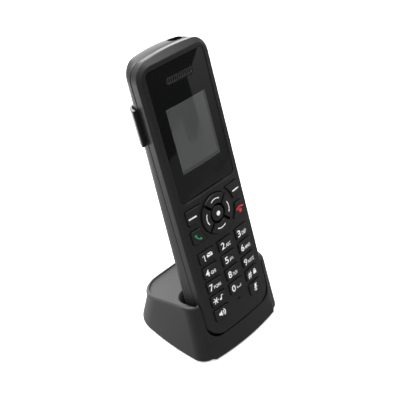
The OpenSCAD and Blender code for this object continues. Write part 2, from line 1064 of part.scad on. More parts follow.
module power_inlet() {
  color(metal)
    translate([0, cradle_back_y - 8.4, inlet_z])
      difference() {
        translate([-inlet_w / 2, 0, -inlet_h / 2 + 0.7])
          cube([inlet_w, 6.6, inlet_h - 0.7]);
        difference() {
          translate([-inlet_w / 2 + 0.4, 1.2, -inlet_h / 2 + 1.05])
            cube([inlet_w - 0.8, 8, inlet_h - 1.4]);
          translate([-2.6, 0, -0.05])
            cube([5.2, 5.6, 0.5]);
        }
      }
}

module pin_carrier() {
  color("#1f1f20") in_handset()
    difference() {
      translate([-contact_x - 4, contact_depth - 3.5, carrier_s - carrier_h])
        cube([2 * contact_x + 8, 7, carrier_h]);
      for (x = [-contact_x, contact_x]) {
        translate([x, contact_depth, carrier_s - carrier_h - 1])
          cylinder(r = pin_bore, h = carrier_h + 3, $fn = 48);
        translate([x, contact_depth, carrier_s - carrier_h - 0.01])
          cylinder(r = pin_flange + 0.1, h = carrier_h - 1.2, $fn = 48);
      }
    }
}

// A sprung charging pin: a round-nosed plunger with a flange that stops it
module charge_pin(x) {
  color("#c8a24a") in_handset()
    translate([x, contact_depth, 0])
      rotate_extrude($fn = 48)
        polygon(concat(
          [[0, carrier_s - 2.4]],
          [[pin_flange, carrier_s - 2.4], [pin_flange, carrier_s - 1.25], [pin_r, carrier_s - 1.25]],
          [for (a = [0:15:75]) [pin_r * cos(a), pin_tip - pin_r + pin_r * sin(a)]],
          [[0, pin_tip]]
        ));
}

coil_r = 1.05;
wire_r = 0.13;

module pin_springs() {
  color(metal) in_handset()
    for (x = [-contact_x, contact_x]) {
      for (i = [0:1]) {
        translate([x, contact_depth, carrier_s - carrier_h + wire_r + 0.02 + 1.9 * wire_r * i])
          rotate_extrude($fn = 32)
            translate([coil_r, 0])
              circle(wire_r, $fn = 16);
      }
    }
}

cradle_shell();
cradle_base_plate();
cradle_feet();
cradle_screws();
cradle_ballast();
charge_board();
power_inlet();
pin_carrier();
charge_pin(-contact_x);  // charge_pin_left
charge_pin(contact_x);  // charge_pin_right
pin_springs();
front_shell();
display_lens();
display_module();
display_frame();
earpiece_grille();
earpiece_speaker();
keypad_mat();
main_board();
shield_can();
microphone();
headset_jack();
loudspeaker();
back_shell();
battery_cells();
battery_contacts();
charge_contacts();
shell_screws();
battery_door();
belt_clip();
number_key(0, 0);  // key_1
number_key(1, 0);  // key_2
number_key(2, 0);  // key_3
number_key(0, 1);  // key_4
number_key(1, 1);  // key_5
number_key(2, 1);  // key_6
number_key(0, 2);  // key_7
number_key(1, 2);  // key_8
number_key(2, 2);  // key_9
number_key(0, 3);  // key_star
number_key(1, 3);  // key_0
number_key(2, 3);  // key_hash
number_key(0, 4);  // speaker_key
number_key(2, 4);  // mute_key
side_key(-1, soft_s0, soft_s1);  // soft_key_left
side_key(1, soft_s0, soft_s1);  // soft_key_right
side_key(-1, call_s0, call_s1);  // talk_key
side_key(1, call_s0, call_s1);  // end_key
nav_key(0);  // nav_right
nav_key(90);  // nav_up
nav_key(180);  // nav_left
nav_key(270);  // nav_down
nav_centre();
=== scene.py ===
import json
import math

import bmesh
import bpy
from mathutils import Matrix, Vector
from mathutils.geometry import delaunay_2d_cdt


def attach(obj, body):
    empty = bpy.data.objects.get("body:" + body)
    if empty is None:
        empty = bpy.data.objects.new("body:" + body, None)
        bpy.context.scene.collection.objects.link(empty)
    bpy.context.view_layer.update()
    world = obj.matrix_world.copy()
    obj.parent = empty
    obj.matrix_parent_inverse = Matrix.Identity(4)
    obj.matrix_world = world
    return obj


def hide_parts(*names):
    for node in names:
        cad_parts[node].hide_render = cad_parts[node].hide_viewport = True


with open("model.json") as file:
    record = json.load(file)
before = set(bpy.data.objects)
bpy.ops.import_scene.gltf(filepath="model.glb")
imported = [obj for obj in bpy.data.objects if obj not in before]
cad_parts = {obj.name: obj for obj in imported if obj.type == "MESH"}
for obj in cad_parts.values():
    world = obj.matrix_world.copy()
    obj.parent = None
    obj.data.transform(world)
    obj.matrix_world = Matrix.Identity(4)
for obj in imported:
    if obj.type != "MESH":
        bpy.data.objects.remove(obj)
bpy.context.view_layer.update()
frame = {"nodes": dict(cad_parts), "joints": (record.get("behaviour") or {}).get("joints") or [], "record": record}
record = frame["record"]

# ---------------------------------------------------------------- sizes, mm

MM = 0.001
HANDSET_W = 52.5
HANDSET_L = 164.8
THICK_BOTTOM = 22.8
THICK_TOP = 16.0
FACE_R = 166.0
SEAM_DEPTH = 7.7
SEAM_GAP = 0.2
SEAM_EDGE = 0.32
SHELL_WALL = 1.9
SIDE_R = 9.0
END_R = 2.5
TOP_R = 2.0
TOP_RISE = 2.4
BEVEL_DEPTH = 3.5
FOOT_BEVEL = 0.3
CORNER_TOP = 10.0
CORNER_BOTTOM = 9.5
END_BOW = 0.9
FACE_WALL = 1.4
TAPER = math.atan((THICK_BOTTOM - THICK_TOP) / HANDSET_L)

KEY_PITCH = 14.6
KEY_W = 11.5
KEY_H = 7.25
KEY_GAP = 0.35
KEY_PROUD = 0.8
KEY_BACK = 3.4
KEY_FLANGE = 0.7
KEY_CORNER = 0.9
KEY_EDGE = 0.38
ROW_TOP = (54.0, 44.6, 35.2, 25.9, 16.5)
NAV_S = 69.9
NAV_R = 11.9
NAV_PROUD = 1.3
NAV_CENTRE_R = 4.6
NAV_SLOT = 1.1
NAV_EDGE = 0.5
RING_RELIEF = 14.4
SIDE_KEY_X = 21.2
SOFT_S = (71.4, 80.7)
CALL_S = (59.9, 68.4)
MIC_S = 13.6

PANEL_HW = 21.4
PANEL_S = (84.9, 159.3)
LENS_DROP = 0.35
LENS_T = 1.1
LCD_HW = 14.65
LCD_S = (100.2, 137.1)
LCD_SIDE_STRIP = 1.7
LCD_LOW_STRIP = 1.9
SLOT_S = 150.4
SLOT_L = 19.4
SLOT_H = 3.5

JACK_X = 12.5
JACK_DEPTH = 11.4
SOCKET_MID = HANDSET_L - 1.6 - 6.0
SCREWS = ((-15.5, 90.8), (15.5, 90.8), (-15.5, 143.8), (15.5, 143.8), (-4.9, 11.5), (4.9, 11.5))
BAY_S = (34.0, 84.0)
BAY_HW = 11.6
BAY_DEPTH = 12.5
DOOR_S = (31.5, 86.5)
DOOR_HW = 15.5
DOOR_T = 1.5
SPEAKER_S = 104.0
CONTACT_X = 7.0
CONTACT_DEPTH = 11.0

CLIP_S = (122.0, 142.0)
CLIP_T = 2.8
CLIP_GAP = 6.0
CLIP_FIT = 0.3
CLIP_ROUND = 3.6
TONGUE_HW = 9.0
TONGUE_END = 90.0

CRADLE_W = 70.0
CRADLE_TOP_W = 66.4
CRADLE_TOP_D = 53.6
CRADLE_BACK_R = 18.5
CRADLE_DEPTH = 60.6
CRADLE_TOP = 25.0
TOE_IN = 0.7
SIDE_BOW = 0.9
EDGE_R = 1.4
EAR_DROP = 3.6
EAR_SLOPE = 6.0
RIM_DROP = 0.9
WALL = 2.2
PLATE_Z = 0.8
PLATE_T = 1.6
POCKET_GAP = 0.6
POCKET_CORNER = 8.6
INLET_Z = 8.2
# where the base plate's screws run, across and back from the face's crest
BASE_SCREWS = ((-26, 16), (26, 16), (-18, 50), (18, 50))

# ------------------------------------------------- places, from the frame

joints = {j["name"]: j for j in frame["joints"]}
mounts = {m["name"]: m for m in record["mounts"]}
lift = Vector(joints["handset_lift"]["axis"])
LEAN = math.atan2(lift.y, lift.z)
tilt = Matrix.Rotation(-LEAN, 4, "X")
socket = Vector((JACK_X, JACK_DEPTH, SOCKET_MID)) * MM
corner = Vector(mounts["headset_socket"]["pos_m"]) - tilt @ socket

# The handset's own millimetres: x across, y in from the crest of its face,
# z up from its bottom end. The cradle's are the frame's own axes.
HANDSET = Matrix.Translation(corner) @ tilt @ Matrix.Scale(MM, 4)
TABLE = Matrix.Scale(MM, 4)
FACE_Y = corner.y / MM
SEAT_Z = corner.z / MM


def crown(x):
    """Depth of the crowned face below its crest."""
    return FACE_R - math.sqrt(FACE_R * FACE_R - x * x)


def thick_at(s):
    return THICK_BOTTOM - (THICK_BOTTOM - THICK_TOP) * s / HANDSET_L


def on_back(x, y, z):
    """A point given from the sloping back: y out of it, z up along it."""
    c, s = math.cos(TAPER), math.sin(TAPER)
    return (x, THICK_BOTTOM + y * c - z * s, y * s + z * c)


def handset_to_table(x, y, z):
    c, s = math.cos(LEAN), math.sin(LEAN)
    return (x, FACE_Y + z * s + y * c, SEAT_Z + z * c - y * s)


# --------------------------------------------------------------- materials


def linear(hex_colour):
    """A #rrggbb sRGB colour as linear RGBA."""
    out = []
    for i in (1, 3, 5):
        v = int(hex_colour[i:i + 2], 16) / 255
        out.append(v / 12.92 if v <= 0.04045 else ((v + 0.055) / 1.055) ** 2.4)
    return (*out, 1.0)


def add_node(tree, kind, settings=None, links=None):
    """Adds a node; settings set its properties or inputs, links feed its inputs."""
    made = tree.nodes.new(kind)
    for key, value in (settings or {}).items():
        if isinstance(key, str) and hasattr(made, key):
            setattr(made, key, value)
        else:
            made.inputs[key].default_value = value
    for key, source in (links or {}).items():
        tree.links.new(source, made.inputs[key])
    return made


def finish(name, colour, roughness, ior=1.5, metallic=0.0, grain_mm=0.0, grain=0.0,
           mottle=0.0, mottle_mm=12.0, streak=None, gloss_spread=0.0):
    """A material with a fine grain, a slow drift of tone and an even sheen.

    grain_mm is the size of the moulded or blasted grain, mottle the share by
    which the tone drifts over mottle_mm, streak a stretch for rolled metal."""
    made = bpy.data.materials.new(name)
    made.use_nodes = True
    tree = made.node_tree
    shader = tree.nodes["Principled BSDF"]
    shader.inputs["IOR"].default_value = ior
    shader.inputs["Metallic"].default_value = metallic
    shader.inputs["Roughness"].default_value = roughness
    where = add_node(tree, "ShaderNodeTexCoord")
    spot = where.outputs["Object"]
    if streak:
        spot = add_node(tree, "ShaderNodeMapping", {"Scale": streak}, {"Vector": spot}).outputs[0]
    drift = add_node(tree, "ShaderNodeTexNoise",
                     {"Scale": 1 / (mottle_mm * MM), "Detail": 3.0, "Roughness": 0.55},
                     {"Vector": spot})
    base = linear(colour)
    light = [min(1.0, v * (1 + mottle)) for v in base[:3]] + [1.0]
    dark = [v * (1 - mottle) for v in base[:3]] + [1.0]
    tone = add_node(tree, "ShaderNodeMix", {"data_type": "RGBA"}, {0: drift.outputs["Fac"]})
    tone.inputs[6].default_value = dark
    tone.inputs[7].default_value = light
    tree.links.new(tone.outputs[2], shader.inputs["Base Color"])
    if gloss_spread:
        sheen = add_node(tree, "ShaderNodeMapRange",
                         {"To Min": roughness - gloss_spread, "To Max": roughness + gloss_spread},
                         {"Value": drift.outputs["Fac"]})
        tree.links.new(sheen.outputs["Result"], shader.inputs["Roughness"])
    if grain_mm:
        speck = add_node(tree, "ShaderNodeTexNoise",
                         {"Scale": 1 / (grain_mm * MM), "Detail": 2.0, "Roughness": 0.6},
                         {"Vector": spot})
        bump = add_node(tree, "ShaderNodeBump", {"Strength": grain, "Distance": 0.05 * MM},
                        {"Height": speck.outputs["Fac"]})
        tree.links.new(bump.outputs["Normal"], shader.inputs["Normal"])
    return made


# Moulded ABS from a spark-eroded tool: near black, with a fine dry grain
# that spreads the light. The real grain is 0.1 mm; it is drawn at 0.35 mm.
FRONT_ABS = finish("moulded_abs_front", "#1a1a1b", 0.46, 1.53, grain_mm=0.35, grain=0.30,
                   mottle=0.10, gloss_spread=0.03)
# The back shell, door and clip come from coarser tools and look greyer.
BACK_ABS = finish("moulded_abs_back", "#1e1e1f", 0.47, 1.53, grain_mm=0.4, grain=0.38,
                  mottle=0.10, gloss_spread=0.03)
CLIP_ABS = finish("moulded_abs_clip", "#1d1d1e", 0.42, 1.53, grain_mm=0.4, grain=0.30,
                  mottle=0.10, gloss_spread=0.03)
# The cradle is the same resin with a slightly coarser, drier grain.
CRADLE_ABS = finish("moulded_abs_cradle", "#1b1b1c", 0.44, 1.53, grain_mm=0.45, grain=0.35,
                    mottle=0.12, gloss_spread=0.03)
BASE_ABS = finish("moulded_abs_base", "#161617", 0.6, 1.53, grain_mm=0.5, grain=0.4,
                  mottle=0.15, gloss_spread=0.04)
# Key caps are moulded polycarbonate with a silky lacquer.
KEY_CAP = finish("lacquered_polycarbonate_keys", "#19191a", 0.43, 1.55, grain_mm=0.3,
                 grain=0.18, mottle=0.08, gloss_spread=0.03)
# Pad-printed ink: flat, slightly chalky, opaque over the black caps.
WHITE_INK = finish("pad_printed_white_ink", "#fbfbf8", 0.5, 1.5, grain_mm=0.2, grain=0.1,
                   mottle=0.04, mottle_mm=1.5)
GREEN_INK = finish("pad_printed_green_ink", "#12a566", 0.5, 1.5, grain_mm=0.2, grain=0.1,
                   mottle=0.06, mottle_mm=1.5)
RED_INK = finish("pad_printed_red_ink", "#ee1c24", 0.5, 1.5, grain_mm=0.2, grain=0.1,
                 mottle=0.06, mottle_mm=1.5)
# Polished acrylic over a black printed mask: a deep black mirror.
MASKED_ACRYLIC = finish("polished_acrylic_over_black_mask", "#08090b", 0.035, 1.49,
                        mottle=0.05, mottle_mm=20)
# The same acrylic over an unlit display, which shows as a dull grey.
UNLIT_DISPLAY = finish("polished_acrylic_over_unlit_display", "#4b4c4c", 0.05, 1.75,
                       mottle=0.06, mottle_mm=25)
DISPLAY_EDGE = finish("polished_acrylic_over_display_edge", "#3b3c3c", 0.05, 1.7,
                      mottle=0.05, mottle_mm=20)
GRILLE_ABS = finish("moulded_abs_grille", "#3a3a3b", 0.4, 1.53, grain_mm=0.25, grain=0.2,
                    mottle=0.08)
# Black nylon for the headset socket; the back shell's socket recess and the grille tray's floor take the same dark
# colour as painted shade.
NYLON_AND_PAINTED_SHADE = finish("moulded_nylon_and_painted_shade", "#101011", 0.45, 1.53, grain_mm=0.3, grain=0.2,
                      mottle=0.1)
# Silicone and rubber scatter light softly and never shine.
SILICONE = finish("moulded_silicone_mat", "#4c4f51", 0.7, 1.41, grain_mm=0.5, grain=0.2,
                  mottle=0.08)
RUBBER = finish("moulded_rubber_feet", "#131313", 0.85, 1.52, grain_mm=0.3, grain=0.5,
                mottle=0.15)
FOAM = finish("cut_foam_gasket", "#1a1a1a", 0.95, 1.4, grain_mm=0.6, grain=0.9, mottle=0.25,
              mottle_mm=2)
PAPER_CONE = finish("pressed_paper_cone", "#1c1b1a", 0.8, 1.45, grain_mm=0.5, grain=0.6,
                    mottle=0.2, mottle_mm=3)
# Solder resist on glass-fibre board: satin green with a hint of the weave.
SOLDER_RESIST = finish("solder_resist_on_glass_fibre", "#14512f", 0.35, 1.5, grain_mm=0.6,
                       grain=0.25, mottle=0.18, mottle_mm=6)
HEAT_SHRINK = finish("heat_shrunk_cell_wrap", "#2f8048", 0.25, 1.5, grain_mm=2.5, grain=0.15,
                     mottle=0.12, mottle_mm=9)
# Zinc-plated steel has a faint blue cast and fine rolling streaks.
ZINC_STEEL = finish("zinc_plated_steel", "#b9bcc0", 0.32, metallic=1.0, grain_mm=0.25,
                    grain=0.15, mottle=0.12, mottle_mm=3, gloss_spread=0.06)
TIN_STEEL = finish("tin_plated_steel", "#c6c5bf", 0.28, metallic=1.0, grain_mm=0.4, grain=0.12,
                   mottle=0.08, mottle_mm=5, streak=(1, 8, 1), gloss_spread=0.05)
SPRING_STEEL = finish("drawn_spring_steel", "#a5a6a6", 0.3, metallic=1.0, grain_mm=0.2,
                      grain=0.1, mottle=0.08, mottle_mm=2)
PLAIN_STEEL = finish("stamped_plain_steel", "#7d8085", 0.45, metallic=1.0, grain_mm=0.5,
                     grain=0.3, mottle=0.2, mottle_mm=8, streak=(1, 5, 1), gloss_spread=0.08)
GOLD_PLATE = finish("gold_plated_brass", "#e2bb63", 0.22, metallic=1.0, grain_mm=0.2,
                    grain=0.08, mottle=0.06, mottle_mm=2)

# ------------------------------------------------------------ mesh building


def arc(cx, cz, r, a0, a1, n):
    """Points along a round stretch, as (x, z)."""
    angles = [math.radians(a0 + (a1 - a0) * i / n) for i in range(n + 1)]
    return [(cx + r * math.cos(a), cz + r * math.sin(a)) for a in angles]


def between(p, q, n):
    """The n - 1 points that divide the line from p to q into n."""
    return [tuple(a + (b - a) * i / n for a, b in zip(p, q)) for i in range(1, n)]


def round_rect(x0, x1, z0, z1, r, n=5):
    return (arc(x1 - r, z0 + r, r, -90, 0, n) + arc(x1 - r, z1 - r, r, 0, 90, n)
            + arc(x0 + r, z1 - r, r, 90, 180, n) + arc(x0 + r, z0 + r, r, 180, 270, n))


def quarter(r, n=4):
    """A rounded edge of radius r as (in from the side, down from the top) pairs,
    from the side to the top."""
    turns = [math.radians(90 * i / n) for i in range(n + 1)]
    return [(r * (1 - math.cos(a)), r * (1 - math.sin(a))) for a in turns]


def inside(p, ring):
    """True if the point p is inside the ring, both in the plane."""
    hit = False
    for (x0, z0), (x1, z1) in zip(ring, ring[1:] + ring[:1]):
        if (z0 > p[1]) != (z1 > p[1]) and p[0] < x0 + (x1 - x0) * (p[1] - z0) / (z1 - z0):
            hit = not hit
    return hit


def near(p, ring, gap):
    return any((p[0] - x) ** 2 + (p[1] - z) ** 2 < gap * gap for x, z in ring)


def fill(bm, row, depth, step=(2.0, 6.0)):
    """Closes a ring of vertices with a fine sheet that follows depth(x, z)."""
    flat = [(v.co.x, v.co.z) for v in row]
    xs, zs = [p[0] for p in flat], [p[1] for p in flat]
    spots = []
    nx = max(1, round((max(xs) - min(xs)) / step[0]))
    nz = max(1, round((max(zs) - min(zs)) / step[1]))
    for i in range(1, nx):
        for j in range(1, nz):
            p = (min(xs) + (max(xs) - min(xs)) * i / nx, min(zs) + (max(zs) - min(zs)) * j / nz)
            if inside(p, flat) and not near(p, flat, 0.3 * step[0]):
                spots.append(p)
    points = [Vector(p) for p in flat + spots]
    made = delaunay_2d_cdt(points, [], [list(range(len(flat)))], 1, 1e-6)
    verts = []
    for co, source in zip(made[0], made[3]):
        ring_index = [k for k in source if k < len(flat)]
        if ring_index:
            verts.append(row[ring_index[0]])
        else:
            verts.append(bm.verts.new((co.x, depth(co.x, co.y), co.y)))
    for face in made[2]:
        corners = [verts[k] for k in face]
        if len(set(corners)) == 3:
            bm.faces.new(corners)


def loft(rings, first=None, last=None):
    """A closed solid through rings of points; first and last are the depth
    functions of its end sheets, or None for flat ends."""
    bm = bmesh.new()
    rows = [[bm.verts.new(p) for p in ring] for ring in rings]
    for a, b in zip(rows, rows[1:]):
        n = len(a)
        for i in range(n):
            bm.faces.new((a[i], a[(i + 1) % n], b[(i + 1) % n], b[i]))
    for row, depth in ((rows[0], first), (rows[-1], last)):
        if depth:
            fill(bm, row, depth)
        else:
            bm.faces.new(row)
    bmesh.ops.recalc_face_normals(bm, faces=bm.faces)
    return bm


def box(x0, x1, y0, y1, z0, z1, to=None):
    """A block between two corners; to maps its points."""
    move = to or (lambda x, y, z: (x, y, z))
    ring = [(x0, y0), (x1, y0), (x1, y1), (x0, y1)]
    return loft([[move(x, y, z) for x, y in ring] for z in (z0, z1)])


def revolved(cx, cy, profile, axis="z", n=48, to=None):
    """A turned solid: profile is (radius, height) pairs about the axis."""
    move = to or (lambda x, y, z: (x, y, z))
    rings = []
    for r, h in profile:
        ring = []
        for i in range(n):
            a = math.tau * i / n
            u, v = r * math.cos(a), r * math.sin(a)
            ring.append(move(cx + u, cy + v, h) if axis == "z" else move(cx + u, h, cy + v))
        rings.append(ring)
    return loft(rings)


def joined(parts):
    """Several closed solids as one mesh."""
    whole = bmesh.new()
    for part in parts:
        mesh = bpy.data.meshes.new("part")
        part.to_mesh(mesh)
        part.free()
        whole.from_mesh(mesh)
        bpy.data.meshes.remove(mesh)
    return whole


def new_object(name, bm):
    mesh = bpy.data.meshes.new(name)
    bm.to_mesh(mesh)
    bm.free()
    made = bpy.data.objects.new(name, mesh)
    bpy.context.scene.collection.objects.link(made)
    return made


def taken(obj):
    """The object's mesh as a tool, with the object itself removed."""
    bm = bmesh.new()
    bm.from_mesh(obj.data)
    bpy.data.objects.remove(obj)
    return bm


def settle(obj):
    """Applies the object's modifiers to its mesh."""
    bpy.context.view_layer.update()
    view = bpy.context.evaluated_depsgraph_get()
    mesh = bpy.data.meshes.new_from_object(obj.evaluated_get(view))
    old = obj.data
    obj.modifiers.clear()
    obj.data = mesh
    bpy.data.meshes.remove(old)


def combine(obj, tool, operation="DIFFERENCE"):
    """Cuts the tool out of the object, or joins the two."""
    other = new_object("tool", tool)
    step = obj.modifiers.new("combine", "BOOLEAN")
    step.operation = operation
    step.solver = "EXACT"
    step.object = other
    settle(obj)
    bpy.data.objects.remove(other)


def soften(obj, sharp=32.0):
    """Smooth shading that keeps corners over the angle and flat faces flat."""
    for face in obj.data.polygons:
        face.use_smooth = True
    obj.data.set_sharp_from_angle(angle=math.radians(sharp))
    step = obj.modifiers.new("normals", "WEIGHTED_NORMAL")
    step.keep_sharp = True
    settle(obj)


def ease_edges(obj, width, angle=50.0, segments=2):
    step = obj.modifiers.new("edges", "BEVEL")
    step.width = width
    step.segments = segments
    step.limit_method = "ANGLE"
    step.angle_limit = math.radians(angle)
    step.use_clamp_overlap = True
    settle(obj)


def piece(obj, matrix, body, slot, material, *replaced):
    """Sets a finished mesh in the frame and says what it rides on and replaces."""
    obj.data.transform(matrix)
    obj.data.materials.clear()
    obj.data.materials.append(material)
    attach(obj, body)
    if replaced:
        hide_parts(*replaced)
    return obj


# ------------------------------------------------------------- handset form


def outline(side_in, top_in, foot_in):
    """Front view of the handset, brought in at the sides, top and foot."""
    hw = HANDSET_W / 2 - side_in
    z0, z1 = foot_in, HANDSET_L - top_in
    rt = max(CORNER_TOP - side_in / 2, 1)
    rb = max(CORNER_BOTTOM - side_in / 2, 1)
    top = [(q / 6 * (hw - rt), z1 + END_BOW * (1 - (q / 6) ** 2)) for q in range(5, -6, -1)]
    foot = [(q / 6 * (hw - rb), z0) for q in range(-5, 6)]
    return (arc(hw - rb, z0 + rb, rb, -90, 0, 14)
            + between((hw, z0 + rb), (hw, z1 - rt), 10)
            + arc(hw - rt, z1 - rt, rt, 0, 90, 14) + top
            + arc(rt - hw, z1 - rt, rt, 90, 180, 14)
            + between((-hw, z1 - rt), (-hw, z0 + rb), 10)
            + arc(rb - hw, z0 + rb, rb, 180, 270, 14) + foot)


OUTER = outline(0, 0, 0)
INNER = outline(BEVEL_DEPTH, BEVEL_DEPTH, FOOT_BEVEL)


def edge_point(i, t):
    """Outline point i brought in by t, where BEVEL_DEPTH is the bevel's inner edge."""
    t = t / BEVEL_DEPTH
    return tuple(a + t * (b - a) for a, b in zip(OUTER[i], INNER[i]))


def bend(a, b, c, n=4):
    """A rounded corner from a to c about b."""
    out = []
    for k in range(n + 1):
        u = k / n
        out.append(tuple((1 - u) ** 2 * p + 2 * u * (1 - u) * q + u * u * r
                         for p, q, r in zip(a, b, c)))
    return out


def front_path(i, seam_edge=SEAM_EDGE, side_bend=0.3, face_bend=0.35):
    """(in, depth) pairs at outline point i, from the seam round the bevel to the face."""
    t = BEVEL_DEPTH
    for _ in range(8):
        # settles on where the sloping bevel meets the crowned face
        t = BEVEL_DEPTH - crown(edge_point(i, t)[0])
    inner = t + face_bend
    face = (inner, crown(edge_point(i, inner)[0]))
    return ([(seam_edge, SEAM_DEPTH), (seam_edge / 3, SEAM_DEPTH - seam_edge / 3),
             (0, SEAM_DEPTH - seam_edge * 1.3)]
            + bend((0, BEVEL_DEPTH + side_bend), (0, BEVEL_DEPTH),
                   (side_bend * 0.7, BEVEL_DEPTH - side_bend * 0.7))
            + bend((t - face_bend * 0.7, BEVEL_DEPTH - t + face_bend * 0.7),
                   (t, BEVEL_DEPTH - t), face))


def hole(shape, depth, flare=0.25, crowned=True, level=0.0):
    """A cutter for an opening in the face, with its rim rounded. shape(inset)
    gives its outline; it ends at depth, measured from the crown or flat."""
    lip = [(flare + 0.5, -0.5), (flare, 0.0)]
    lip += [(flare * (1 - math.sin(math.radians(a))), flare * (1 - math.cos(math.radians(a))))
            for a in (30, 60, 90)]
    rings = [[(x, -4, z) for x, z in shape(-flare - 0.5)]]
    rings += [[(x, crown(x) + level + d, z) for x, z in shape(-out)] for out, d in lip]
    if crowned:
        rings.append([(x, crown(x) + depth, z) for x, z in shape(0)])
        return loft(rings, last=lambda x, z: crown(x) + depth)
    rings.append([(x, depth, z) for x, z in shape(0)])
    return loft(rings)


def key_outline(col, row, inset):
    x0 = (col - 1) * KEY_PITCH - KEY_W / 2
    return round_rect(x0 + inset, x0 + KEY_W - inset,
                      ROW_TOP[row] - KEY_H + inset, ROW_TOP[row] - inset, KEY_CORNER)


def side_key_outline(side, span, inset, corner_r=1.4):
    """A rounded bar whose inner end is cut round the navigation ring."""
    z0, z1 = span[0] + inset, span[1] - inset
    reach = RING_RELIEF + inset
    low, high = z0 - NAV_S, z1 - NAV_S
    start, end = math.degrees(math.asin(high / reach)), math.degrees(math.asin(low / reach))
    outer_x = SIDE_KEY_X - inset
    ring = (arc(outer_x - corner_r, z0 + corner_r, corner_r, -90, 0, 5)
            + arc(outer_x - corner_r, z1 - corner_r, corner_r, 0, 90, 5)
            + arc(0, NAV_S, reach, start, end, 10))
    return ring if side > 0 else [(-x, z) for x, z in reversed(ring)]


def nav_outline(turn, inset):
    """A quarter of the navigation ring, facing the angle turn."""
    wedge = NAV_SLOT / 2 + 1.42 * inset
    outer, inner = NAV_R - inset, NAV_CENTRE_R + NAV_SLOT - 0.3 + inset
    ring = []
    for r, direction in ((outer, 1), (inner, -1)):
        half = math.degrees(math.acos(wedge / (r * math.sqrt(2)))) - 45
        ring += arc(0, 0, r, -half * direction, half * direction, 14)
    c, s = math.cos(math.radians(turn)), math.sin(math.radians(turn))
    return [(x * c - z * s, NAV_S + x * s + z * c) for x, z in ring]


def circle_outline(cx, cz, r, inset, n=64):
    return arc(cx, cz, r - inset, 0, 360 - 360 / n, n - 1)


# ------------------------------------------------------------------- camera
# The lens and the place from which the object is seen.

eye = bpy.data.cameras.new("camera")
eye.lens = 76.64
eye.sensor_width = 36.0
camera = bpy.data.objects.new("camera", eye)
bpy.context.scene.collection.objects.link(camera)
CAMERA_AZIMUTH = -47.52
CAMERA_ELEVATION = 37.94
a, e = math.radians(CAMERA_AZIMUTH), math.radians(CAMERA_ELEVATION)
backward = Vector((math.sin(a) * math.cos(e), -math.cos(a) * math.cos(e), math.sin(e)))
camera.rotation_mode = "QUATERNION"
camera.rotation_quaternion = backward.to_track_quat("Z", "Y")
camera.location = Vector((-0.27636, -0.25107, 0.37445))
bpy.context.scene.camera = camera
bpy.context.scene.view_settings.view_transform = "Standard"

ROOM_FRONT = 0.28
ROOM_BACK = 0.9
CARD_TURN = math.radians(35)
CARD_DISTANCE = 0.75
CARD_GLOW = 0.65

# ------------------------------------------------------------- front shell


def front_shell():
    count = len(OUTER)
    paths = [front_path(i) for i in range(count)]
    rings = []
    for k in range(len(paths[0])):
        ring = []
        for i in range(count):
            inset, depth = paths[i][k]
            x, z = edge_point(i, inset)
            ring.append((x, depth, z))
        rings.append(ring)
    obj = new_object("front_shell_moulding", loft(rings, last=lambda x, z: crown(x)))
    holes = [hole(lambda g, c=col, r=row: key_outline(c, r, g), 6, crowned=False)
             for row in range(5) for col in range(3) if row < 4 or col != 1]
    for side in (-1, 1):
        for span in (SOFT_S, CALL_S):
            holes.append(hole(lambda g, s=side, p=span: side_key_outline(s, p, g), 6, crowned=False))
    holes.append(hole(lambda g: circle_outline(0, NAV_S, NAV_R, g, 96), 6, flare=0.3, crowned=False))
    holes.append(hole(lambda g: round_rect(-1 + g, 1 - g, MIC_S - 0.55 + g, MIC_S + 0.55 - g,
                                           0.5), 6, flare=0.1, crowned=False))
    gap = 0.1
    holes.append(hole(lambda g: round_rect(-PANEL_HW - gap + g, PANEL_HW + gap - g,
                                           PANEL_S[0] - gap + g, PANEL_S[1] + gap - g, 3.0, 8),
                      LENS_DROP + LENS_T + 0.05, flare=0.2))
    # hollow behind the keys, and a deeper-set one behind the panel
    key_room = round_rect(-23.6, 23.6, 4.5, 83.5, 5)
    panel_room = round_rect(-23.6, 23.6, 83.6, HANDSET_L - 2.4, 6)
    for room, depth in ((key_room, FACE_WALL), (panel_room, LENS_DROP + LENS_T + 1.0)):
        rings = [[(x, y if y else crown(x) + depth, z) for x, z in room] for y in (0, SEAM_DEPTH + 1)]
        combine(obj, loft(rings))
    combine(obj, joined(holes))
    windows = [round_rect(-LCD_HW - 0.8, LCD_HW + 0.8, LCD_S[0] - 0.8, LCD_S[1] + 0.8, 0.5),
               round_rect(-SLOT_L / 2 - 0.5, SLOT_L / 2 + 0.5, SLOT_S - SLOT_H / 2 - 0.5,
                          SLOT_S + SLOT_H / 2 + 0.5, 1.9)]
    combine(obj, joined([loft([[(x, y, z) for x, z in w] for y in (0.5, 5)]) for w in windows]))
    soften(obj)
    return piece(obj, HANDSET, "handset", "front_plastic", FRONT_ABS, "front_shell")


# --------------------------------------------------------------- back shell


def back_ring(turn, grow, front):
    """One ring round the rounded back; turn is the angle round its edge. The
    rounding would start before the joint near the top, so it is held behind it."""
    a = math.radians(turn)
    level = grow - SIDE_R * (1 - math.sin(a))
    inward = 1 - math.cos(a)
    ring = outline(SIDE_R * inward - grow, TOP_R * inward - TOP_RISE * math.sin(a) - grow,
                   END_R * inward - grow)
    points = [on_back(x, level, z) for x, z in ring]
    return [(x, max(y, front + 0.5 + 0.004 * turn), z) for x, y, z in points]


def back_solid(grow, front, seam_edge=0.0):
    rings = []
    for inset, depth in ((seam_edge, front), (seam_edge / 3, front + seam_edge / 3),
                         (0, front + seam_edge * 1.3)) if seam_edge else ((0, front),):
        ring = outline(inset - grow, inset - grow, inset - grow)
        rings.append([(x, depth, z) for x, z in ring])
    rings += [back_ring(turn, grow, front) for turn in range(0, 91, 6)]
    c, s = math.cos(TAPER), math.sin(TAPER)
    return loft(rings, last=lambda x, z: THICK_BOTTOM + grow * c - (z - grow * s) * s / c)


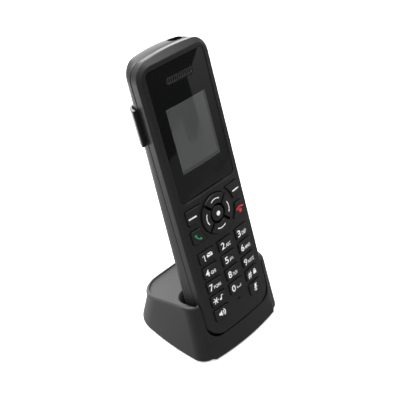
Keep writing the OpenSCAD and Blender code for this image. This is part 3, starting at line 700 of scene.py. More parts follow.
def bored(x, z, profile, n=40):
    """A hole from the back, as (radius, distance out of the back) pairs."""
    level = thick_at(z)
    return revolved(x, z, [(r, level + h) for r, h in profile], axis="y", n=n)


def back_shell():
    obj = new_object("back_shell_moulding", back_solid(0, SEAM_DEPTH + SEAM_GAP, SEAM_EDGE))
    hollow = new_object("hollow", back_solid(-SHELL_WALL, SEAM_DEPTH - 2))
    kept = [box(-BAY_HW - 1.2, BAY_HW + 1.2, -BAY_DEPTH - 0.6, 1, BAY_S[0] - 1.6, BAY_S[1] + 1.6,
                on_back)]
    kept += [revolved(x, z, [(3.0, 6.6), (3.0, 40)], axis="y", n=32) for x, z in SCREWS]
    kept.append(revolved(JACK_X, JACK_DEPTH, [(4.0, SOCKET_MID - 9), (4.0, HANDSET_L + 3)]))
    combine(hollow, joined(kept))
    combine(obj, taken(hollow))
    # seat of the door, sound slots, counterbores, windows and the socket's recess
    edge = 0.15
    door = lambda g: round_rect(-DOOR_HW - 0.25 + g, DOOR_HW + 0.25 - g, DOOR_S[0] - 0.25 + g,
                                DOOR_S[1] + 0.25 - g, 1.6)
    recesses = [loft([[on_back(x, y, z) for x, z in door(-out)]
                      for out, y in ((edge + 1, 1), (edge, 0), (0, -edge), (0, -DOOR_T - 0.15))])]
    for i in range(-3, 4):
        slot = lambda g, s=SPEAKER_S + 2.2 * i: round_rect(-5.5 + g, 5.5 - g, s - 0.5 + g,
                                                           s + 0.5 - g, 0.45)
        recesses.append(loft([[on_back(x, y, z) for x, z in slot(-out)]
                              for out, y in ((0.32, 0.2), (0.12, 0), (0, -0.12), (0, -6))]))
    for x, z in SCREWS:
        recesses.append(bored(x, z, [(2.3, -6.55), (2.3, -0.25), (2.5, 0.02), (2.6, 1.2)]))
    for x in (-CONTACT_X, CONTACT_X):
        recesses.append(box(x - 3.15, x + 3.15, CONTACT_DEPTH - 1.85, CONTACT_DEPTH + 1.85,
                            -2, 4))
    stadium = lambda g: (arc(JACK_X + 2, JACK_DEPTH, 2.4 - g, -90, 90, 16)
                         + arc(JACK_X - 2, JACK_DEPTH, 2.4 - g, 90, 270, 16))
    recesses.append(loft([[(x, y, z) for x, y in stadium(-out)] for out, z in
                          ((0, HANDSET_L - 1.2), (0, HANDSET_L + 0.95),
                           (0.15, HANDSET_L + 1.15), (0.9, HANDSET_L + 2.4))]))
    combine(obj, joined(recesses))
    combine(obj, box(-BAY_HW, BAY_HW, -BAY_DEPTH, 5, BAY_S[0], BAY_S[1], on_back))
    tab_pockets = [box(x - 2.8, x + 2.8, -2.9, -1.0, DOOR_S[0] - 2.4, DOOR_S[0] + 3.2, on_back)
                   for x in (-9, 9)]
    combine(obj, joined(tab_pockets))
    bores = [revolved(x, z, [(1.25, 0), (1.25, thick_at(z) - 3)], axis="y", n=32)
              for x, z in SCREWS]
    bores.append(revolved(JACK_X, JACK_DEPTH, [(3.15, SOCKET_MID - 12), (3.15, HANDSET_L - 1.1)]))
    combine(obj, joined(bores))
    soften(obj)
    # the faces inside the headset socket's recess take the dark nylon, which paints shade into the recess
    recess_shade_faces = [f.index for f in obj.data.polygons
                  if HANDSET_L - 1.25 < f.center.z < HANDSET_L + 1.0
                  and abs(f.center.x - JACK_X) < 4.5 and abs(f.center.y - JACK_DEPTH) < 2.45]
    piece(obj, HANDSET, "handset", "back_plastic", BACK_ABS, "back_shell")
    obj.data.materials.append(NYLON_AND_PAINTED_SHADE)
    for k in recess_shade_faces:
        face = obj.data.polygons[k]
        if face.area < 40 * MM * MM:
            face.material_index = 1
    return obj


# -------------------------------------------------------- panel and earpiece


def display_lens():
    """The panel's polished cover, with the display showing in its lower half."""
    edge = quarter(0.22, 3)
    top = LENS_DROP
    rings = [[(x, crown(x) + top + LENS_T, z) for x, z in
              round_rect(-PANEL_HW, PANEL_HW, PANEL_S[0], PANEL_S[1], 2.9, 8)]]
    for inset, down in edge:
        rings.append([(x, crown(x) + top + down, z) for x, z in
                      round_rect(-PANEL_HW + inset, PANEL_HW - inset, PANEL_S[0] + inset,
                                 PANEL_S[1] - inset, 2.9 - inset, 8)])
    obj = new_object("display_cover", loft(rings, first=lambda x, z: crown(x) + top + LENS_T,
                                           last=lambda x, z: crown(x) + top))
    slot = lambda g: round_rect(-SLOT_L / 2 + g, SLOT_L / 2 - g, SLOT_S - SLOT_H / 2 + g,
                                SLOT_S + SLOT_H / 2 - g, 1.7)
    combine(obj, hole(slot, 4, flare=0.12, crowned=False, level=top))
    # the display's window and its inner edge are scored into the front sheet
    for x in (-LCD_HW, LCD_HW - LCD_SIDE_STRIP, LCD_HW):
        score(obj, (x, 0, 0), (1, 0, 0))
    for z in (LCD_S[0], LCD_S[0] + LCD_LOW_STRIP, LCD_S[1]):
        score(obj, (0, 0, z), (0, 0, 1))
    soften(obj)
    piece(obj, HANDSET, "handset", "lens", MASKED_ACRYLIC, "display_lens")
    obj.data.materials.append(UNLIT_DISPLAY)
    obj.data.materials.append(DISPLAY_EDGE)
    back = HANDSET.inverted()
    for face in obj.data.polygons:
        at = back @ face.center
        if at.y > crown(at.x) + top + 0.1:
            continue
        if -LCD_HW < at.x < LCD_HW and LCD_S[0] < at.z < LCD_S[1]:
            seen = at.x < LCD_HW - LCD_SIDE_STRIP and at.z > LCD_S[0] + LCD_LOW_STRIP
            face.material_index = 1 if seen else 2
    return obj


def score(obj, at, normal):
    """Splits the object's faces along a plane, without parting them."""
    bm = bmesh.new()
    bm.from_mesh(obj.data)
    bmesh.ops.bisect_plane(bm, geom=bm.verts[:] + bm.edges[:] + bm.faces[:], dist=1e-6,
                           plane_co=at, plane_no=normal)
    bm.to_mesh(obj.data)
    bm.free()


def instances(name, points, tool, material):
    """A Geometry Nodes tree that sets a copy of the tool mesh on every point."""
    carrier = bpy.data.meshes.new(name)
    carrier.from_pydata(points, [], [])
    obj = bpy.data.objects.new(name, carrier)
    bpy.context.scene.collection.objects.link(obj)
    stamp = new_object(name + "_tool", tool)
    tree = bpy.data.node_groups.new(name, "GeometryNodeTree")
    tree.interface.new_socket("Geometry", in_out="INPUT", socket_type="NodeSocketGeometry")
    chosen = tree.interface.new_socket("Tool", in_out="INPUT", socket_type="NodeSocketObject")
    size = tree.interface.new_socket("Size", in_out="INPUT", socket_type="NodeSocketFloat")
    tree.interface.new_socket("Geometry", in_out="OUTPUT", socket_type="NodeSocketGeometry")
    source = add_node(tree, "NodeGroupInput")
    shape = add_node(tree, "GeometryNodeObjectInfo", links={"Object": source.outputs["Tool"]})
    spread = add_node(tree, "GeometryNodeInstanceOnPoints",
                      links={"Points": source.outputs["Geometry"],
                             "Instance": shape.outputs["Geometry"],
                             "Scale": source.outputs["Size"]})
    real = add_node(tree, "GeometryNodeRealizeInstances",
                    links={"Geometry": spread.outputs["Instances"]})
    coated = add_node(tree, "GeometryNodeSetMaterial", {"Material": material},
                      {"Geometry": real.outputs["Geometry"]})
    add_node(tree, "NodeGroupOutput", links={"Geometry": coated.outputs["Geometry"]})
    step = obj.modifiers.new("instances", "NODES")
    step.node_group = tree
    step[chosen.identifier] = stamp
    step[size.identifier] = 1.0
    settle(obj)
    bpy.data.objects.remove(stamp)
    return obj


RIBS = 12
RIB_PITCH = 1.5


def earpiece_grille():
    """A shallow tray in the panel's slot, with a row of upright ribs."""
    base = LENS_DROP + 1.3
    inset = 0.1
    ring = lambda g: round_rect(-SLOT_L / 2 + inset + g, SLOT_L / 2 - inset - g,
                                SLOT_S - SLOT_H / 2 + inset + g, SLOT_S + SLOT_H / 2 - inset - g,
                                1.6 - g)
    rim = 0.45
    rings = [[(x, crown(x) + d, z) for x, z in ring(g)] for g, d in
             ((0, 3.0), (0, LENS_DROP + 0.25), (0.1, LENS_DROP + 0.15), (rim - 0.1, LENS_DROP + 0.15),
              (rim, LENS_DROP + 0.25), (rim, base))]
    tray = loft(rings)
    obj = new_object("earpiece_tray", tray)
    soften(obj)
    half = (SLOT_H - 2 * inset - 2 * rim) / 2
    bar = loft([[(x, y, z) for x, y in ((-w, d0), (w, d0), (w, d1), (-w, d1))]
                for z, w, d0, d1 in ((-half, 0.25, 0.0, -1.1), (half, 0.25, 0.0, -1.1))])
    spots = []
    for i in range(RIBS):
        x = (i - (RIBS - 1) / 2) * RIB_PITCH
        spots.append((x, crown(x) + base - 0.02, SLOT_S))
    ribs = instances("earpiece_ribs", spots, bar, GRILLE_ABS)
    soften(ribs)
    # the tray's floor between the ribs takes the dark nylon as painted shade between the ribs
    floor = [f.index for f in obj.data.polygons if f.center.y > base - 0.3 + crown(f.center.x)
             and abs(f.center.z - SLOT_S) < half and f.normal.y < -0.5]
    piece(obj, HANDSET, "handset", "grille_plastic", GRILLE_ABS, "earpiece_grille")
    obj.data.materials.append(NYLON_AND_PAINTED_SHADE)
    for k in floor:
        obj.data.polygons[k].material_index = 1
    piece(ribs, HANDSET, "handset", "grille_plastic", GRILLE_ABS)


# --------------------------------------------------------------------- keys


def cap(name, shape, node, proud=KEY_PROUD, edge=KEY_EDGE, flange=True, dish=0.0, middle=(0, 0)):
    """A key cap whose top follows the crown of the face."""
    rings = []
    if flange:
        for g, d in ((-KEY_FLANGE, None), (-KEY_FLANGE, FACE_WALL + 0.15), (KEY_GAP, FACE_WALL + 0.15)):
            rings.append([(x, KEY_BACK if d is None else crown(x) + d, z) for x, z in shape(g)])
    else:
        rings.append([(x, KEY_BACK, z) for x, z in shape(KEY_GAP)])
    for g, down in quarter(edge, 4):
        rings.append([(x, crown(x) - proud + down, z) for x, z in shape(KEY_GAP + g)])

    def top(x, z):
        r2 = (x - middle[0]) ** 2 + (z - middle[1]) ** 2
        return crown(x) - proud + dish * r2

    obj = new_object(name, loft(rings, last=top))
    soften(obj, 40)
    return piece(obj, HANDSET, node, "key_plastic", KEY_CAP, node)


def polygon_area(points):
    return sum(a[0] * b[1] - b[0] * a[1] for a, b in zip(points, points[1:] + points[:1])) / 2


def stroke(points, width):
    """The outline of a line of that width through the points, with round ends."""
    left, right = [], []
    n = len(points)
    for i, p in enumerate(points):
        before = Vector(points[i - 1] if i else points[0])
        after = Vector(points[i + 1] if i < n - 1 else points[-1])
        along = (after - before).normalized()
        side = Vector((-along.y, along.x)) * width / 2
        left.append((p[0] + side.x, p[1] + side.y))
        right.append((p[0] - side.x, p[1] - side.y))
    first = Vector(points[0]) - Vector(points[1])
    last = Vector(points[-1]) - Vector(points[-2])
    ends = []
    for point, along in ((points[-1], last), (points[0], first)):
        a = math.degrees(math.atan2(along.y, along.x))
        ends.append(arc(point[0], point[1], width / 2, a - 60, a + 60, 4))
    return right + ends[0] + left[::-1] + ends[1]


def lettering(text, x0, z0, height, width=None, bold=0.012):
    """The filled outlines of a text, as a flat mesh set at a corner and height."""
    curve = bpy.data.curves.new("text", "FONT")
    curve.body = text
    curve.size = 1.0
    curve.offset = bold
    curve.fill_mode = "FRONT"
    obj = bpy.data.objects.new("text", curve)
    bpy.context.scene.collection.objects.link(obj)
    bpy.context.view_layer.update()
    view = bpy.context.evaluated_depsgraph_get()
    mesh = bpy.data.meshes.new_from_object(obj.evaluated_get(view))
    bpy.data.objects.remove(obj)
    xs, ys = [v.co.x for v in mesh.vertices], [v.co.y for v in mesh.vertices]
    kz = height / (max(ys) - min(ys))
    kx = width / (max(xs) - min(xs)) if width else kz
    for v in mesh.vertices:
        v.co = ((v.co.x - min(xs)) * kx + x0, 0, (v.co.y - min(ys)) * kz + z0)
    bm = bmesh.new()
    bm.from_mesh(mesh)
    bpy.data.meshes.remove(mesh)
    return bm


def shapes(polygons, x0, z0):
    """Flat filled polygons, moved to a place on the face."""
    bm = bmesh.new()
    for points in polygons:
        if polygon_area(points) < 0:
            points = points[::-1]
        made = delaunay_2d_cdt([Vector(p) for p in points], [], [list(range(len(points)))], 1, 1e-5)
        verts = [bm.verts.new((co.x + x0, 0, co.y + z0)) for co in made[0]]
        for face in made[2]:
            bm.faces.new([verts[k] for k in face])
    return bm


INK_T = 0.03


def printed(name, flat, body, material, proud=KEY_PROUD):
    """Turns flat shapes into a thin layer of ink on a key's crowned top."""
    bmesh.ops.remove_doubles(flat, verts=flat.verts, dist=1e-4)
    sheet = flat.faces[:]
    grown = bmesh.ops.extrude_face_region(flat, geom=sheet)
    raised = {v for v in grown["geom"] if isinstance(v, bmesh.types.BMVert)}
    for v in flat.verts:
        v.co.y = crown(v.co.x) - proud - (INK_T if v in raised else -0.01)
    bmesh.ops.recalc_face_normals(flat, faces=flat.faces)
    obj = new_object(name, flat)
    return piece(obj, HANDSET, body, None, material)


def loop(cx, cz, r, n=20):
    return arc(cx, cz, r, 0, 360 - 360 / n, n - 1)


DIGIT_H = 4.1
LETTER_H = 2.15
BASELINE = KEY_H / 2 + 0.25 + DIGIT_H / 2

# Digit, the letters beside it, and where each starts and ends across the key.
NUMBER_KEYS = {
    "key_1": (0, 0, "", 0, 0, "", 0, 0),
    "key_2": (1, 0, "2", -3.8, 2.7, "ABC", -0.3, 3.9),
    "key_3": (2, 0, "3", 10.4, 2.7, "DEF", 14.2, 3.9),
    "key_4": (0, 1, "4", -19.1, 2.9, "GHI", -15.3, 3.5),
    "key_5": (1, 1, "5", -3.8, 2.7, "JKL", -0.3, 3.4),
    "key_6": (2, 1, "6", 10.4, 2.7, "MNO", 14.1, 4.6),
    "key_7": (0, 2, "7", -19.0, 2.6, "PQRS", -16.0, 5.2),
    "key_8": (1, 2, "8", -4.2, 2.8, "TUV", -0.8, 4.0),
    "key_9": (2, 2, "9", 10.1, 2.7, "WXYZ", 13.2, 5.7),
    "key_star": (0, 3, "", 0, 0, "", 0, 0),
    "key_0": (1, 3, "0", -4.2, 2.9, "", 0, 0),
    "key_hash": (2, 3, "#", 10.5, 3.3, "", 0, 0),
    "speaker_key": (0, 4, "", 0, 0, "", 0, 0),
    "mute_key": (2, 4, "", 0, 0, "", 0, 0),
}


def envelope():
    """A filled envelope; the gap between its two parts draws the flap."""
    body = [(-2.0, -1.1), (2.0, -1.1), (2.0, 0.75), (0, -0.35), (-2.0, 0.75)]
    flap = [(-1.85, 1.15), (0, 0.12), (1.85, 1.15)]
    return [body, flap]


def asterisk():
    arms = []
    for a in (0, 60, 120):
        c, s = math.cos(math.radians(a)), math.sin(math.radians(a))
        arms.append(stroke([(-1.9 * c, -1.9 * s), (1.9 * c, 1.9 * s)], 0.5))
    return arms


def note():
    return [loop(-0.7, -1.0, 0.75), stroke([(-0.2, -1.0), (0.25, 1.3), (1.1, 0.9)], 0.6)]


def space_bar():
    return [stroke([(-1.5, 0.6), (-1.5, -0.5), (1.5, -0.5), (1.5, 0.6)], 0.42)]


def padlock():
    shackle = [(0.75 * math.cos(a), 0.3 + 1.1 * math.sin(a)) for a in
               [math.pi * i / 8 for i in range(9)]]
    return [round_rect(-1.25, 1.25, -1.6, 0.35, 0.25), stroke(shackle, 0.55)]


def loudspeaker_sign():
    body = [(-2.5, -0.75), (-1.5, -0.75), (-0.2, -1.8), (-0.2, 1.8), (-1.5, 0.75), (-2.5, 0.75)]
    waves = [stroke(arc(-0.4, 0, r, -45, 45, 8), 0.6) for r in (1.45, 2.6)]
    return [body] + waves


def muted_microphone():
    holder = stroke(arc(0, 0.5, 1.2, 200, 340, 10), 0.45)
    return [round_rect(-0.75, 0.75, 0.0, 2.4, 0.74), holder,
            stroke([(0, -0.8), (0, -2.0)], 0.5), stroke([(-0.6, -2.1), (0.6, -2.1)], 0.45),
            stroke([(-1.35, -1.5), (1.35, 2.2)], 0.45)]


def receiver(bow=0.8):
    """A telephone receiver lying on its side: a bowed grip with two thick ends."""
    grip = [(3.0 * q / 6, bow * (1 - (q / 6) ** 2)) for q in range(-6, 7)]
    ends = [stroke([(side * 2.9, 0.05), (side * 2.0, 0.4)], 0.95) for side in (-1, 1)]
    return [stroke(grip, 0.7)] + ends


def turned(polygons, angle, scale=1.0):
    """Polygons turned by the angle about their middle, and scaled."""
    c, s = scale * math.cos(math.radians(angle)), scale * math.sin(math.radians(angle))
    return [[(x * c - z * s, x * s + z * c) for x, z in points] for points in polygons]


SIGNS = {
    "key_1": (envelope, -13.0, 0.25),
    "key_star": (note, -12.9, 0.2),
    "key_0": (space_bar, 1.5, -1.0),
    "key_hash": (padlock, 16.7, 0.0),
    "speaker_key": (loudspeaker_sign, -15.0, -0.05),
    "mute_key": (muted_microphone, 14.4, -0.2),
}


def number_keys():
    for node, (col, row, digit, dx, dw, letters, lx, lw) in NUMBER_KEYS.items():
        cap(node + "_cap", lambda g, c=col, r=row: key_outline(c, r, g), node)
        base = ROW_TOP[row] - BASELINE
        middle = ROW_TOP[row] - KEY_H / 2
        marks = []
        if digit:
            marks.append(lettering(digit, dx, base, DIGIT_H, dw))
        if letters:
            marks.append(lettering(letters, lx, base, LETTER_H, lw, 0.01))
        if node == "key_1":
            marks.append(shapes([stroke([(-0.8, 1.2), (0.2, 1.78), (0.2, -1.8)], 0.55)],
                                -17.0, base + DIGIT_H / 2))
        if node == "key_star":
            marks.append(shapes(asterisk(), -17.1, middle - 0.1))
        if node in SIGNS:
            sign, x, up = SIGNS[node]
            marks.append(shapes(sign(), x, middle + up))
        printed(node + "_print", joined(marks), node, WHITE_INK)


def side_keys():
    keys = (("soft_key_left", -1, SOFT_S), ("soft_key_right", 1, SOFT_S),
            ("talk_key", -1, CALL_S), ("end_key", 1, CALL_S))
    for node, side, span in keys:
        cap(node + "_cap", lambda g, s=side, p=span: side_key_outline(s, p, g), node, flange=False)
    dash = [round_rect(-2.75, 2.75, -0.42, 0.42, 0.15)]
    for node, x in (("soft_key_left", -17.3), ("soft_key_right", 17.8)):
        printed(node + "_print", shapes(dash, x, 75.65), node, WHITE_INK)
    answer = turned(receiver(-0.7), -42, 0.84)
    printed("talk_key_print", shapes(answer, -17.0, 63.5), "talk_key", GREEN_INK)
    hang_up = receiver() + [loop(0, -1.5, 1.25)]
    printed("end_key_print", shapes(hang_up, 17.8, 63.9), "end_key", RED_INK)


def nav_keys():
    for node, turn in (("nav_right", 0), ("nav_up", 90), ("nav_left", 180), ("nav_down", 270)):
        cap(node + "_cap", lambda g, t=turn: nav_outline(t, g), node, NAV_PROUD, NAV_EDGE, False)
        mark = turned([stroke(arc(3.1, 0, 5.8, -31, 31, 10), 0.55)], turn)
        printed(node + "_print", shapes(mark, 0, NAV_S), node, WHITE_INK, NAV_PROUD)
    cap("nav_centre_cap", lambda g: circle_outline(0, NAV_S, NAV_CENTRE_R, g - KEY_GAP, 72),
        "nav_centre", NAV_PROUD, 1.1, False)
    printed("nav_centre_print", shapes([loop(0, 0, 1.4, 28)], 0, NAV_S), "nav_centre", WHITE_INK,
            NAV_PROUD)


# ---------------------------------------------------------------- belt clip


def clip_path(grow, more, n=18):
    """Cross-section round the back of the handset, as (x, y) from right to left."""
    t = thick_at(CLIP_S[0]) + 0.1
    cx, cy = HANDSET_W / 2 - SIDE_R - more, t - SIDE_R - more
    r = SIDE_R + grow + more
    side = HANDSET_W / 2 + grow
    front = SEAM_DEPTH + 0.7
    start = 0.0
    right = [(side, front)]
    if more:
        # the arm's side stands square for a millimetre, then runs to the round
        rise = front + 1 - cy
        start = 2 * math.degrees(math.atan2(rise, side - cx))
        right.append((side, front + 1))
    right += arc(cx, cy, r, start, 90, n)
    return right + [(-x, y) for x, y in reversed(right)]


def belt_clip():
    outer, inner = clip_path(CLIP_FIT + CLIP_T, CLIP_ROUND), clip_path(CLIP_FIT, 0.0)
    ring = outer + inner[::-1]
    obj = new_object("belt_clip_moulding", loft([[(x, y, z) for x, y in ring] for z in CLIP_S]))
    ease_edges(obj, 0.9, 40, 4)
    level = CLIP_GAP
    tongue = lambda g: round_rect(-TONGUE_HW + g, TONGUE_HW - g, TONGUE_END + g, CLIP_S[1] - g,
                                  3.0, 8)
    edge = quarter(0.9, 4)
    rings = [[on_back(x, level + d, z) for x, z in tongue(g)] for g, d in edge[::-1]]
    rings += [[on_back(x, level + CLIP_T - d, z) for x, z in tongue(g)] for g, d in edge]
    combine(obj, loft(rings), "UNION")
    root = box(-TONGUE_HW + 0.6, TONGUE_HW - 0.6, CLIP_FIT + 1, level + CLIP_T - 0.9,
               CLIP_S[1] - 8, CLIP_S[1] - 0.9, on_back)
    combine(obj, root, "UNION")
    toe = loft([[on_back(x, y, TONGUE_END + 3.5 + w)
                 for x, w in ((-7, k - 1.6), (7, k - 1.6), (7, 1.6 - k), (-7, 1.6 - k))]
                for y, k in ((level + 0.4, 0.0), (level - 0.9, 0.2), (level - 1.3, 0.7))])
    combine(obj, toe, "UNION")
    grips = []
    for i in range(5):
        z = TONGUE_END + 6.5 + 2.4 * i
        path = [(-0.75, 0.3), (-0.55, 0), (-0.3, -0.38), (0.3, -0.38), (0.55, 0), (0.75, 0.3)]
        rings = [[on_back(x, level + CLIP_T + d, z + w) for w, d in path] for x in (-6, 6)]
        grips.append(loft(rings))
    combine(obj, joined(grips))
    soften(obj, 35)
    return piece(obj, HANDSET, "belt_clip", "clip_plastic", CLIP_ABS, "belt_clip")


# ------------------------------------------------------------------- cradle


def cradle_ring(hw, rf, rb, front, back, bow):
    """Plan of the cradle, as (x, y), from its front right round to its front."""
    y0, y1 = front + rf + crown(hw), back - rb
    side = [(hw + bow * (1 - 4 * q * q), (y0 + y1) / 2 + q * (y1 - y0))
            for q in [k / 8 - 0.5 for k in range(1, 8)]]
    right = arc(hw - rf, y0, rf, -80, 0, 10) + side + arc(hw - rb, y1, rb, 0, 90, 18)
    face = [(q / 8 * hw, front + crown(q / 8 * hw)) for q in range(-6, 7)]
    return right + [(-x, y) for x, y in reversed(right)] + face


def edge_in(d):
    return 0 if d > EDGE_R else EDGE_R - math.sqrt(EDGE_R ** 2 - (EDGE_R - d) ** 2)


def ear_in(d):
    return 0 if d > EAR_DROP else EAR_SLOPE * (1 - math.sqrt(1 - (1 - d / EAR_DROP) ** 2))


def cradle_plan(g, z):
    toe = FACE_Y + TOE_IN - SEAT_Z * math.tan(LEAN)
    ring = cradle_ring(CRADLE_W / 2 - g, 8.5 - g, CRADLE_BACK_R - g, toe + g,
                       FACE_Y + CRADLE_DEPTH - g, SIDE_BOW)
    return [(x, y, z) for x, y in ring]


def cradle_top(g, down, front_in):
    ring = cradle_ring(CRADLE_TOP_W / 2 - g, 7 - g, CRADLE_BACK_R - g, g + front_in,
                       CRADLE_TOP_D - g, 0)
    return [handset_to_table(x, y, CRADLE_TOP - down) for x, y in ring]


def blend_rings(a, b, n):
    return [[tuple(p + (q - p) * k / n for p, q in zip(u, v)) for u, v in zip(a, b)]
            for k in range(1, n)]


def cradle_solid(g, z):
    base = cradle_plan(g, z)
    downs = [EAR_DROP, 3.0, 2.4, 1.9, 1.4, 1.1, 0.8, 0.55, 0.35, 0.2, 0.1, 0.03, 0.0]
    tops = [cradle_top(g + edge_in(d), g + d, ear_in(d)) for d in downs]
    return loft([base] + blend_rings(base, tops[0], 6) + tops)


def pocket_ring(side_in, end_in, y):
    hw = HANDSET_W / 2 - side_in
    rb = max(POCKET_CORNER - side_in / 2, 1)
    ring = (arc(hw - rb, end_in + rb, rb, -90, 0, 14) + [(hw, 60), (-hw, 60)]
            + arc(rb - hw, end_in + rb, rb, 180, 270, 14))
    return [handset_to_table(x, y, z) for x, z in ring]


def pocket_solid(g):
    rings = [pocket_ring(-g, -g, -8.0)]
    for turn in range(0, 91, 6):
        a = math.radians(turn)
        y = THICK_BOTTOM + g - SIDE_R * (1 - math.sin(a))
        rings.append(pocket_ring(SIDE_R * (1 - math.cos(a)) - g, END_R * (1 - math.cos(a)) - g, y))
    return loft(rings)


def mouth_ring(g, z, y_front=5.2):
    hw = HANDSET_W / 2
    cx, cy = hw - SIDE_R, THICK_BOTTOM - SIDE_R
    right = [(hw + g, y_front)] + arc(cx, cy, SIDE_R + g, 0, 90, 16)
    ring = right + [(-x, y) for x, y in reversed(right)]
    return [handset_to_table(x, y, z) for x, y in ring]


def cradle_shell():
    obj = new_object("cradle_moulding", cradle_solid(0, PLATE_Z))
    hollow = new_object("hollow", cradle_solid(WALL, PLATE_Z - 1))
    combine(hollow, pocket_solid(POCKET_GAP + 1.9))
    block = box(-31.5, 31.5, 4, THICK_BOTTOM + 6, CRADLE_TOP - 8, CRADLE_TOP + 8, handset_to_table)
    combine(hollow, block)
    bosses = [revolved(x, FACE_Y + y, [(3.0, PLATE_Z - 2), (3.0, 60)], n=32)
              for x, y in BASE_SCREWS]
    combine(hollow, joined(bosses))
    combine(obj, taken(hollow))
    combine(obj, pocket_solid(POCKET_GAP))
    flare = [(CRADLE_TOP - 7, POCKET_GAP), (CRADLE_TOP - 5, 0.85), (CRADLE_TOP - 3.4, 1.25),
             (CRADLE_TOP - 2.2, 1.75), (CRADLE_TOP - 1.4, 2.3), (CRADLE_TOP - 0.7, 3.1),
             (CRADLE_TOP + 1, 5.2), (CRADLE_TOP + 6, 7.0)]
    combine(obj, loft([mouth_ring(g, z) for z, g in flare]))
    # dished top face inside a raised rim
    dish = []
    for g, up in ((2.9, 0.0), (2.62, 0.06), (2.42, 0.2), (2.3, 0.42), (2.25, 0.7), (2.1, 0.92),
                  (1.9, 1.4), (1.5, 4.0)):
        ring = cradle_ring(CRADLE_TOP_W / 2 - g, 7 - g, CRADLE_BACK_R - g, g, CRADLE_TOP_D - g, 0)
        dish.append([handset_to_table(x, y, CRADLE_TOP - RIM_DROP + up) for x, y in ring])
    combine(obj, loft(dish))
    under = [revolved(x, FACE_Y + y, [(1.0, -1), (1.0, 9)], n=32) for x, y in BASE_SCREWS]
    for x in (-CONTACT_X, CONTACT_X):
        under.append(revolved(x, CONTACT_DEPTH, [(1.3, -3.4), (1.3, 2)], n=32, to=handset_to_table))
    under.append(box(-4.1, 4.1, FACE_Y + CRADLE_DEPTH - 12, FACE_Y + CRADLE_DEPTH + 8,
                     INLET_Z - 1.75, INLET_Z + 1.75))
    combine(obj, joined(under))
    carrier = box(-CONTACT_X - 4.2, CONTACT_X + 4.2, CONTACT_DEPTH - 3.7, CONTACT_DEPTH + 3.7,
                  -16.6, -2.6, handset_to_table)
    combine(obj, carrier)
    seat = [cradle_plan(1.3, z) for z in (-1, PLATE_Z + PLATE_T + 0.1)]
    combine(obj, loft(seat))
    soften(obj)
    return piece(obj, TABLE, "cradle", "cradle_plastic", CRADLE_ABS, "cradle_shell")


# --------------------------------------------- pieces that keep the CAD form


def from_cad(node, body, slot, material, width):
    """A copy of a CAD node with its edges eased and its round faces smooth."""
    bm = bmesh.new()
    bm.from_mesh(frame["nodes"][node].data)
    bmesh.ops.scale(bm, vec=(1 / MM,) * 3, verts=bm.verts)
    bmesh.ops.remove_doubles(bm, verts=bm.verts, dist=1e-3)
    bmesh.ops.dissolve_limit(bm, angle_limit=math.radians(0.7), verts=bm.verts, edges=bm.edges)
    obj = new_object(node + "_piece", bm)
    if width:
        ease_edges(obj, width)
    soften(obj, 35)
    return piece(obj, TABLE, body, slot, material, node)


CAD_PIECES = (
    ("cradle_base_plate", "cradle", "base_plastic", BASE_ABS, 0.2),
    ("cradle_feet", "cradle", "rubber", RUBBER, 0.3),
    ("cradle_screws", "cradle", "screw_steel", ZINC_STEEL, 0.08),
    ("cradle_ballast", "cradle", "ballast_steel", PLAIN_STEEL, 0.3),
    ("charge_board", "cradle", "circuit_board", SOLDER_RESIST, 0.1),
    ("power_inlet", "cradle", "plated_steel", TIN_STEEL, 0.08),
    ("pin_carrier", "cradle", "base_plastic", BASE_ABS, 0.15),
    ("pin_springs", "cradle", "plated_steel", SPRING_STEEL, 0),
    ("charge_pin_left", "charge_pin_left", "gold_plate", GOLD_PLATE, 0),
    ("charge_pin_right", "charge_pin_right", "gold_plate", GOLD_PLATE, 0),
    ("display_module", "handset", "display_glass", UNLIT_DISPLAY, 0.1),
    ("display_frame", "handset", "foam", FOAM, 0.15),
    ("earpiece_speaker", "handset", "plated_steel", PAPER_CONE, 0.2),
    ("keypad_mat", "handset", "silicone", SILICONE, 0.12),
    ("main_board", "handset", "circuit_board", SOLDER_RESIST, 0.1),
    ("shield_can", "handset", "plated_steel", TIN_STEEL, 0.15),
    ("microphone", "handset", "plated_steel", TIN_STEEL, 0.15),
    ("headset_jack", "handset", "socket_plastic", NYLON_AND_PAINTED_SHADE, 0.15),
    ("loudspeaker", "handset", "speaker_frame", PAPER_CONE, 0.3),
    ("battery_cells", "handset", "cell_wrap", HEAT_SHRINK, 0.3),
    ("battery_contacts", "handset", "plated_steel", TIN_STEEL, 0.08),
    ("charge_contacts", "handset", "gold_plate", GOLD_PLATE, 0.08),
    ("shell_screws", "handset", "screw_steel", ZINC_STEEL, 0.06),
    ("battery_door", "battery_door", "door_plastic", BACK_ABS, 0.18),
)


# -------------------------------------------------------------------- stage


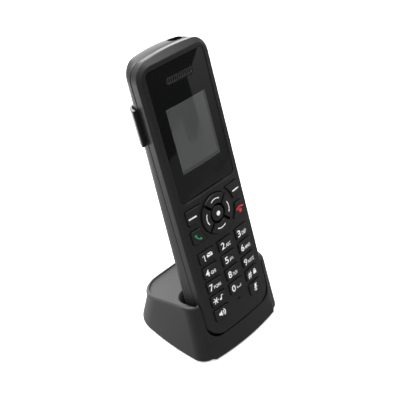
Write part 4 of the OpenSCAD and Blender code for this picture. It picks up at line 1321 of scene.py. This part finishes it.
def stage():
    scene = bpy.context.scene
    floor_mesh = bmesh.new()
    bmesh.ops.create_grid(floor_mesh, x_segments=1, y_segments=1, size=3.0)
    floor = new_object("floor", floor_mesh)
    paper = finish("backlit_opal_acrylic", "#f4f4f3", 0.9, 1.4, mottle=0.01, mottle_mm=400)
    floor.data.materials.append(paper)
    floor.visible_glossy = False
    # the table is lit from below, so the object hardly throws a shadow on it
    shader = paper.node_tree.nodes["Principled BSDF"]
    shader.inputs["Emission Color"].default_value = (1, 1, 1, 1)
    shader.inputs["Emission Strength"].default_value = 0.4

    # Room: bright behind the object, dim on the side its face looks to. The
    # camera itself sees plain white.
    world = bpy.data.worlds.new("room")
    world.use_nodes = True
    scene.world = world
    tree = world.node_tree
    tree.nodes.clear()
    where = add_node(tree, "ShaderNodeTexCoord")
    behind = add_node(tree, "ShaderNodeVectorMath", {"operation": "DOT_PRODUCT"},
                      {0: where.outputs["Generated"]})
    behind.inputs[1].default_value = (0.0, 1.0, 0.0)
    glow = add_node(tree, "ShaderNodeMapRange",
                    {"From Min": -0.6, "From Max": 0.9, "To Min": ROOM_FRONT,
                     "To Max": ROOM_BACK, "interpolation_type": "SMOOTHSTEP"},
                    {"Value": behind.outputs["Value"]})
    room = add_node(tree, "ShaderNodeBackground", {"Color": (1, 1, 1, 1)},
                    {"Strength": glow.outputs["Result"]})
    plain = add_node(tree, "ShaderNodeBackground", {"Color": (1, 1, 1, 1), "Strength": 1.0})
    ray = add_node(tree, "ShaderNodeLightPath")
    pick = add_node(tree, "ShaderNodeMixShader", links={0: ray.outputs["Is Camera Ray"],
                                                        1: room.outputs[0], 2: plain.outputs[0]})
    add_node(tree, "ShaderNodeOutputWorld", links={"Surface": pick.outputs[0]})

    def softbox(name, at, size, power, aim_at=(0, 0, 0.08)):
        lamp = bpy.data.lights.new(name, "AREA")
        lamp.shape = "RECTANGLE"
        lamp.size, lamp.size_y = size
        lamp.energy = power
        obj = bpy.data.objects.new(name, lamp)
        scene.collection.objects.link(obj)
        obj.location = at
        obj.rotation_mode = "QUATERNION"
        aim = Vector(aim_at) - Vector(at)
        obj.rotation_quaternion = aim.to_track_quat("-Z", "Y")
        obj.visible_camera = False

    softbox("softbox_above", (0.1, 0.5, 1.3), (1.2, 1.2), 34)
    softbox("softbox_left", (-0.16, 0.16, 0.05), (0.12, 0.12), 0.12, (0, 0.02, 0.15))
    softbox("softbox_rim", (0.1, 0.17, 0.16), (0.1, 0.12), 0.16, (0, 0.03, 0.17))
    softbox("softbox_low", (0.02, 0.18, 0.02), (0.12, 0.1), 0.12, (-0.02, 0.03, 0.14))

    # Cards seen only in reflections, as a studio sets up round a glossy
    # panel: each outline is (across, up) in metres, upright before the panel.
    toward = Vector((math.sin(CARD_TURN), -math.cos(CARD_TURN), 0))
    across = Vector((-toward.y, toward.x, 0))
    upright = Matrix(((*across, 0), (*toward, 0), (0, 0, 1, 0), (0, 0, 0, 1))).transposed()

    def card(name, outline_points, distance, glow):
        made = bmesh.new()
        made.faces.new([made.verts.new((u, distance, v)) for u, v in outline_points])
        obj = new_object(name, made)
        obj.data.transform(upright)
        felt = finish(name + "_face", "#000000", 1.0, 1.0)
        tree = felt.node_tree
        shader = tree.nodes["Principled BSDF"]
        shader.inputs["Emission Color"].default_value = (1, 1, 1, 1)
        place = add_node(tree, "ShaderNodeTexCoord")
        height = add_node(tree, "ShaderNodeSeparateXYZ", links={0: place.outputs["Object"]})
        fade = add_node(tree, "ShaderNodeMapRange",
                        {"From Min": -0.06, "From Max": 0.2, "To Min": 0.3 * glow, "To Max": glow},
                        {"Value": height.outputs["Z"]})
        tree.links.new(fade.outputs["Result"], shader.inputs["Emission Strength"])
        obj.data.materials.append(felt)
        for seen in ("visible_camera", "visible_diffuse", "visible_shadow",
                     "visible_transmission"):
            setattr(obj, seen, False)

    card("black_card", [(-0.6, 0.9), (-0.6, 0.071), (-0.125, 0.071), (-0.11, 0.0995),
                        (-0.022, 0.0995), (-0.018, 0.064), (0.04, 0.052), (0.095, 0.064),
                        (0.1, 0.1), (0.11, 0.132), (0.176, 0.132), (0.19, 0.9)], CARD_DISTANCE,
         0.12)
    card("white_card", [(0.13, 0.75), (0.11, -0.05), (0.75, -0.05), (0.75, 0.75)],
         CARD_DISTANCE + 0.05, CARD_GLOW)


# ---------------------------------------------------------------- make it all

front_shell()
back_shell()
display_lens()
earpiece_grille()
number_keys()
side_keys()
nav_keys()
belt_clip()
cradle_shell()
for row in CAD_PIECES:
    from_cad(*row)
stage()
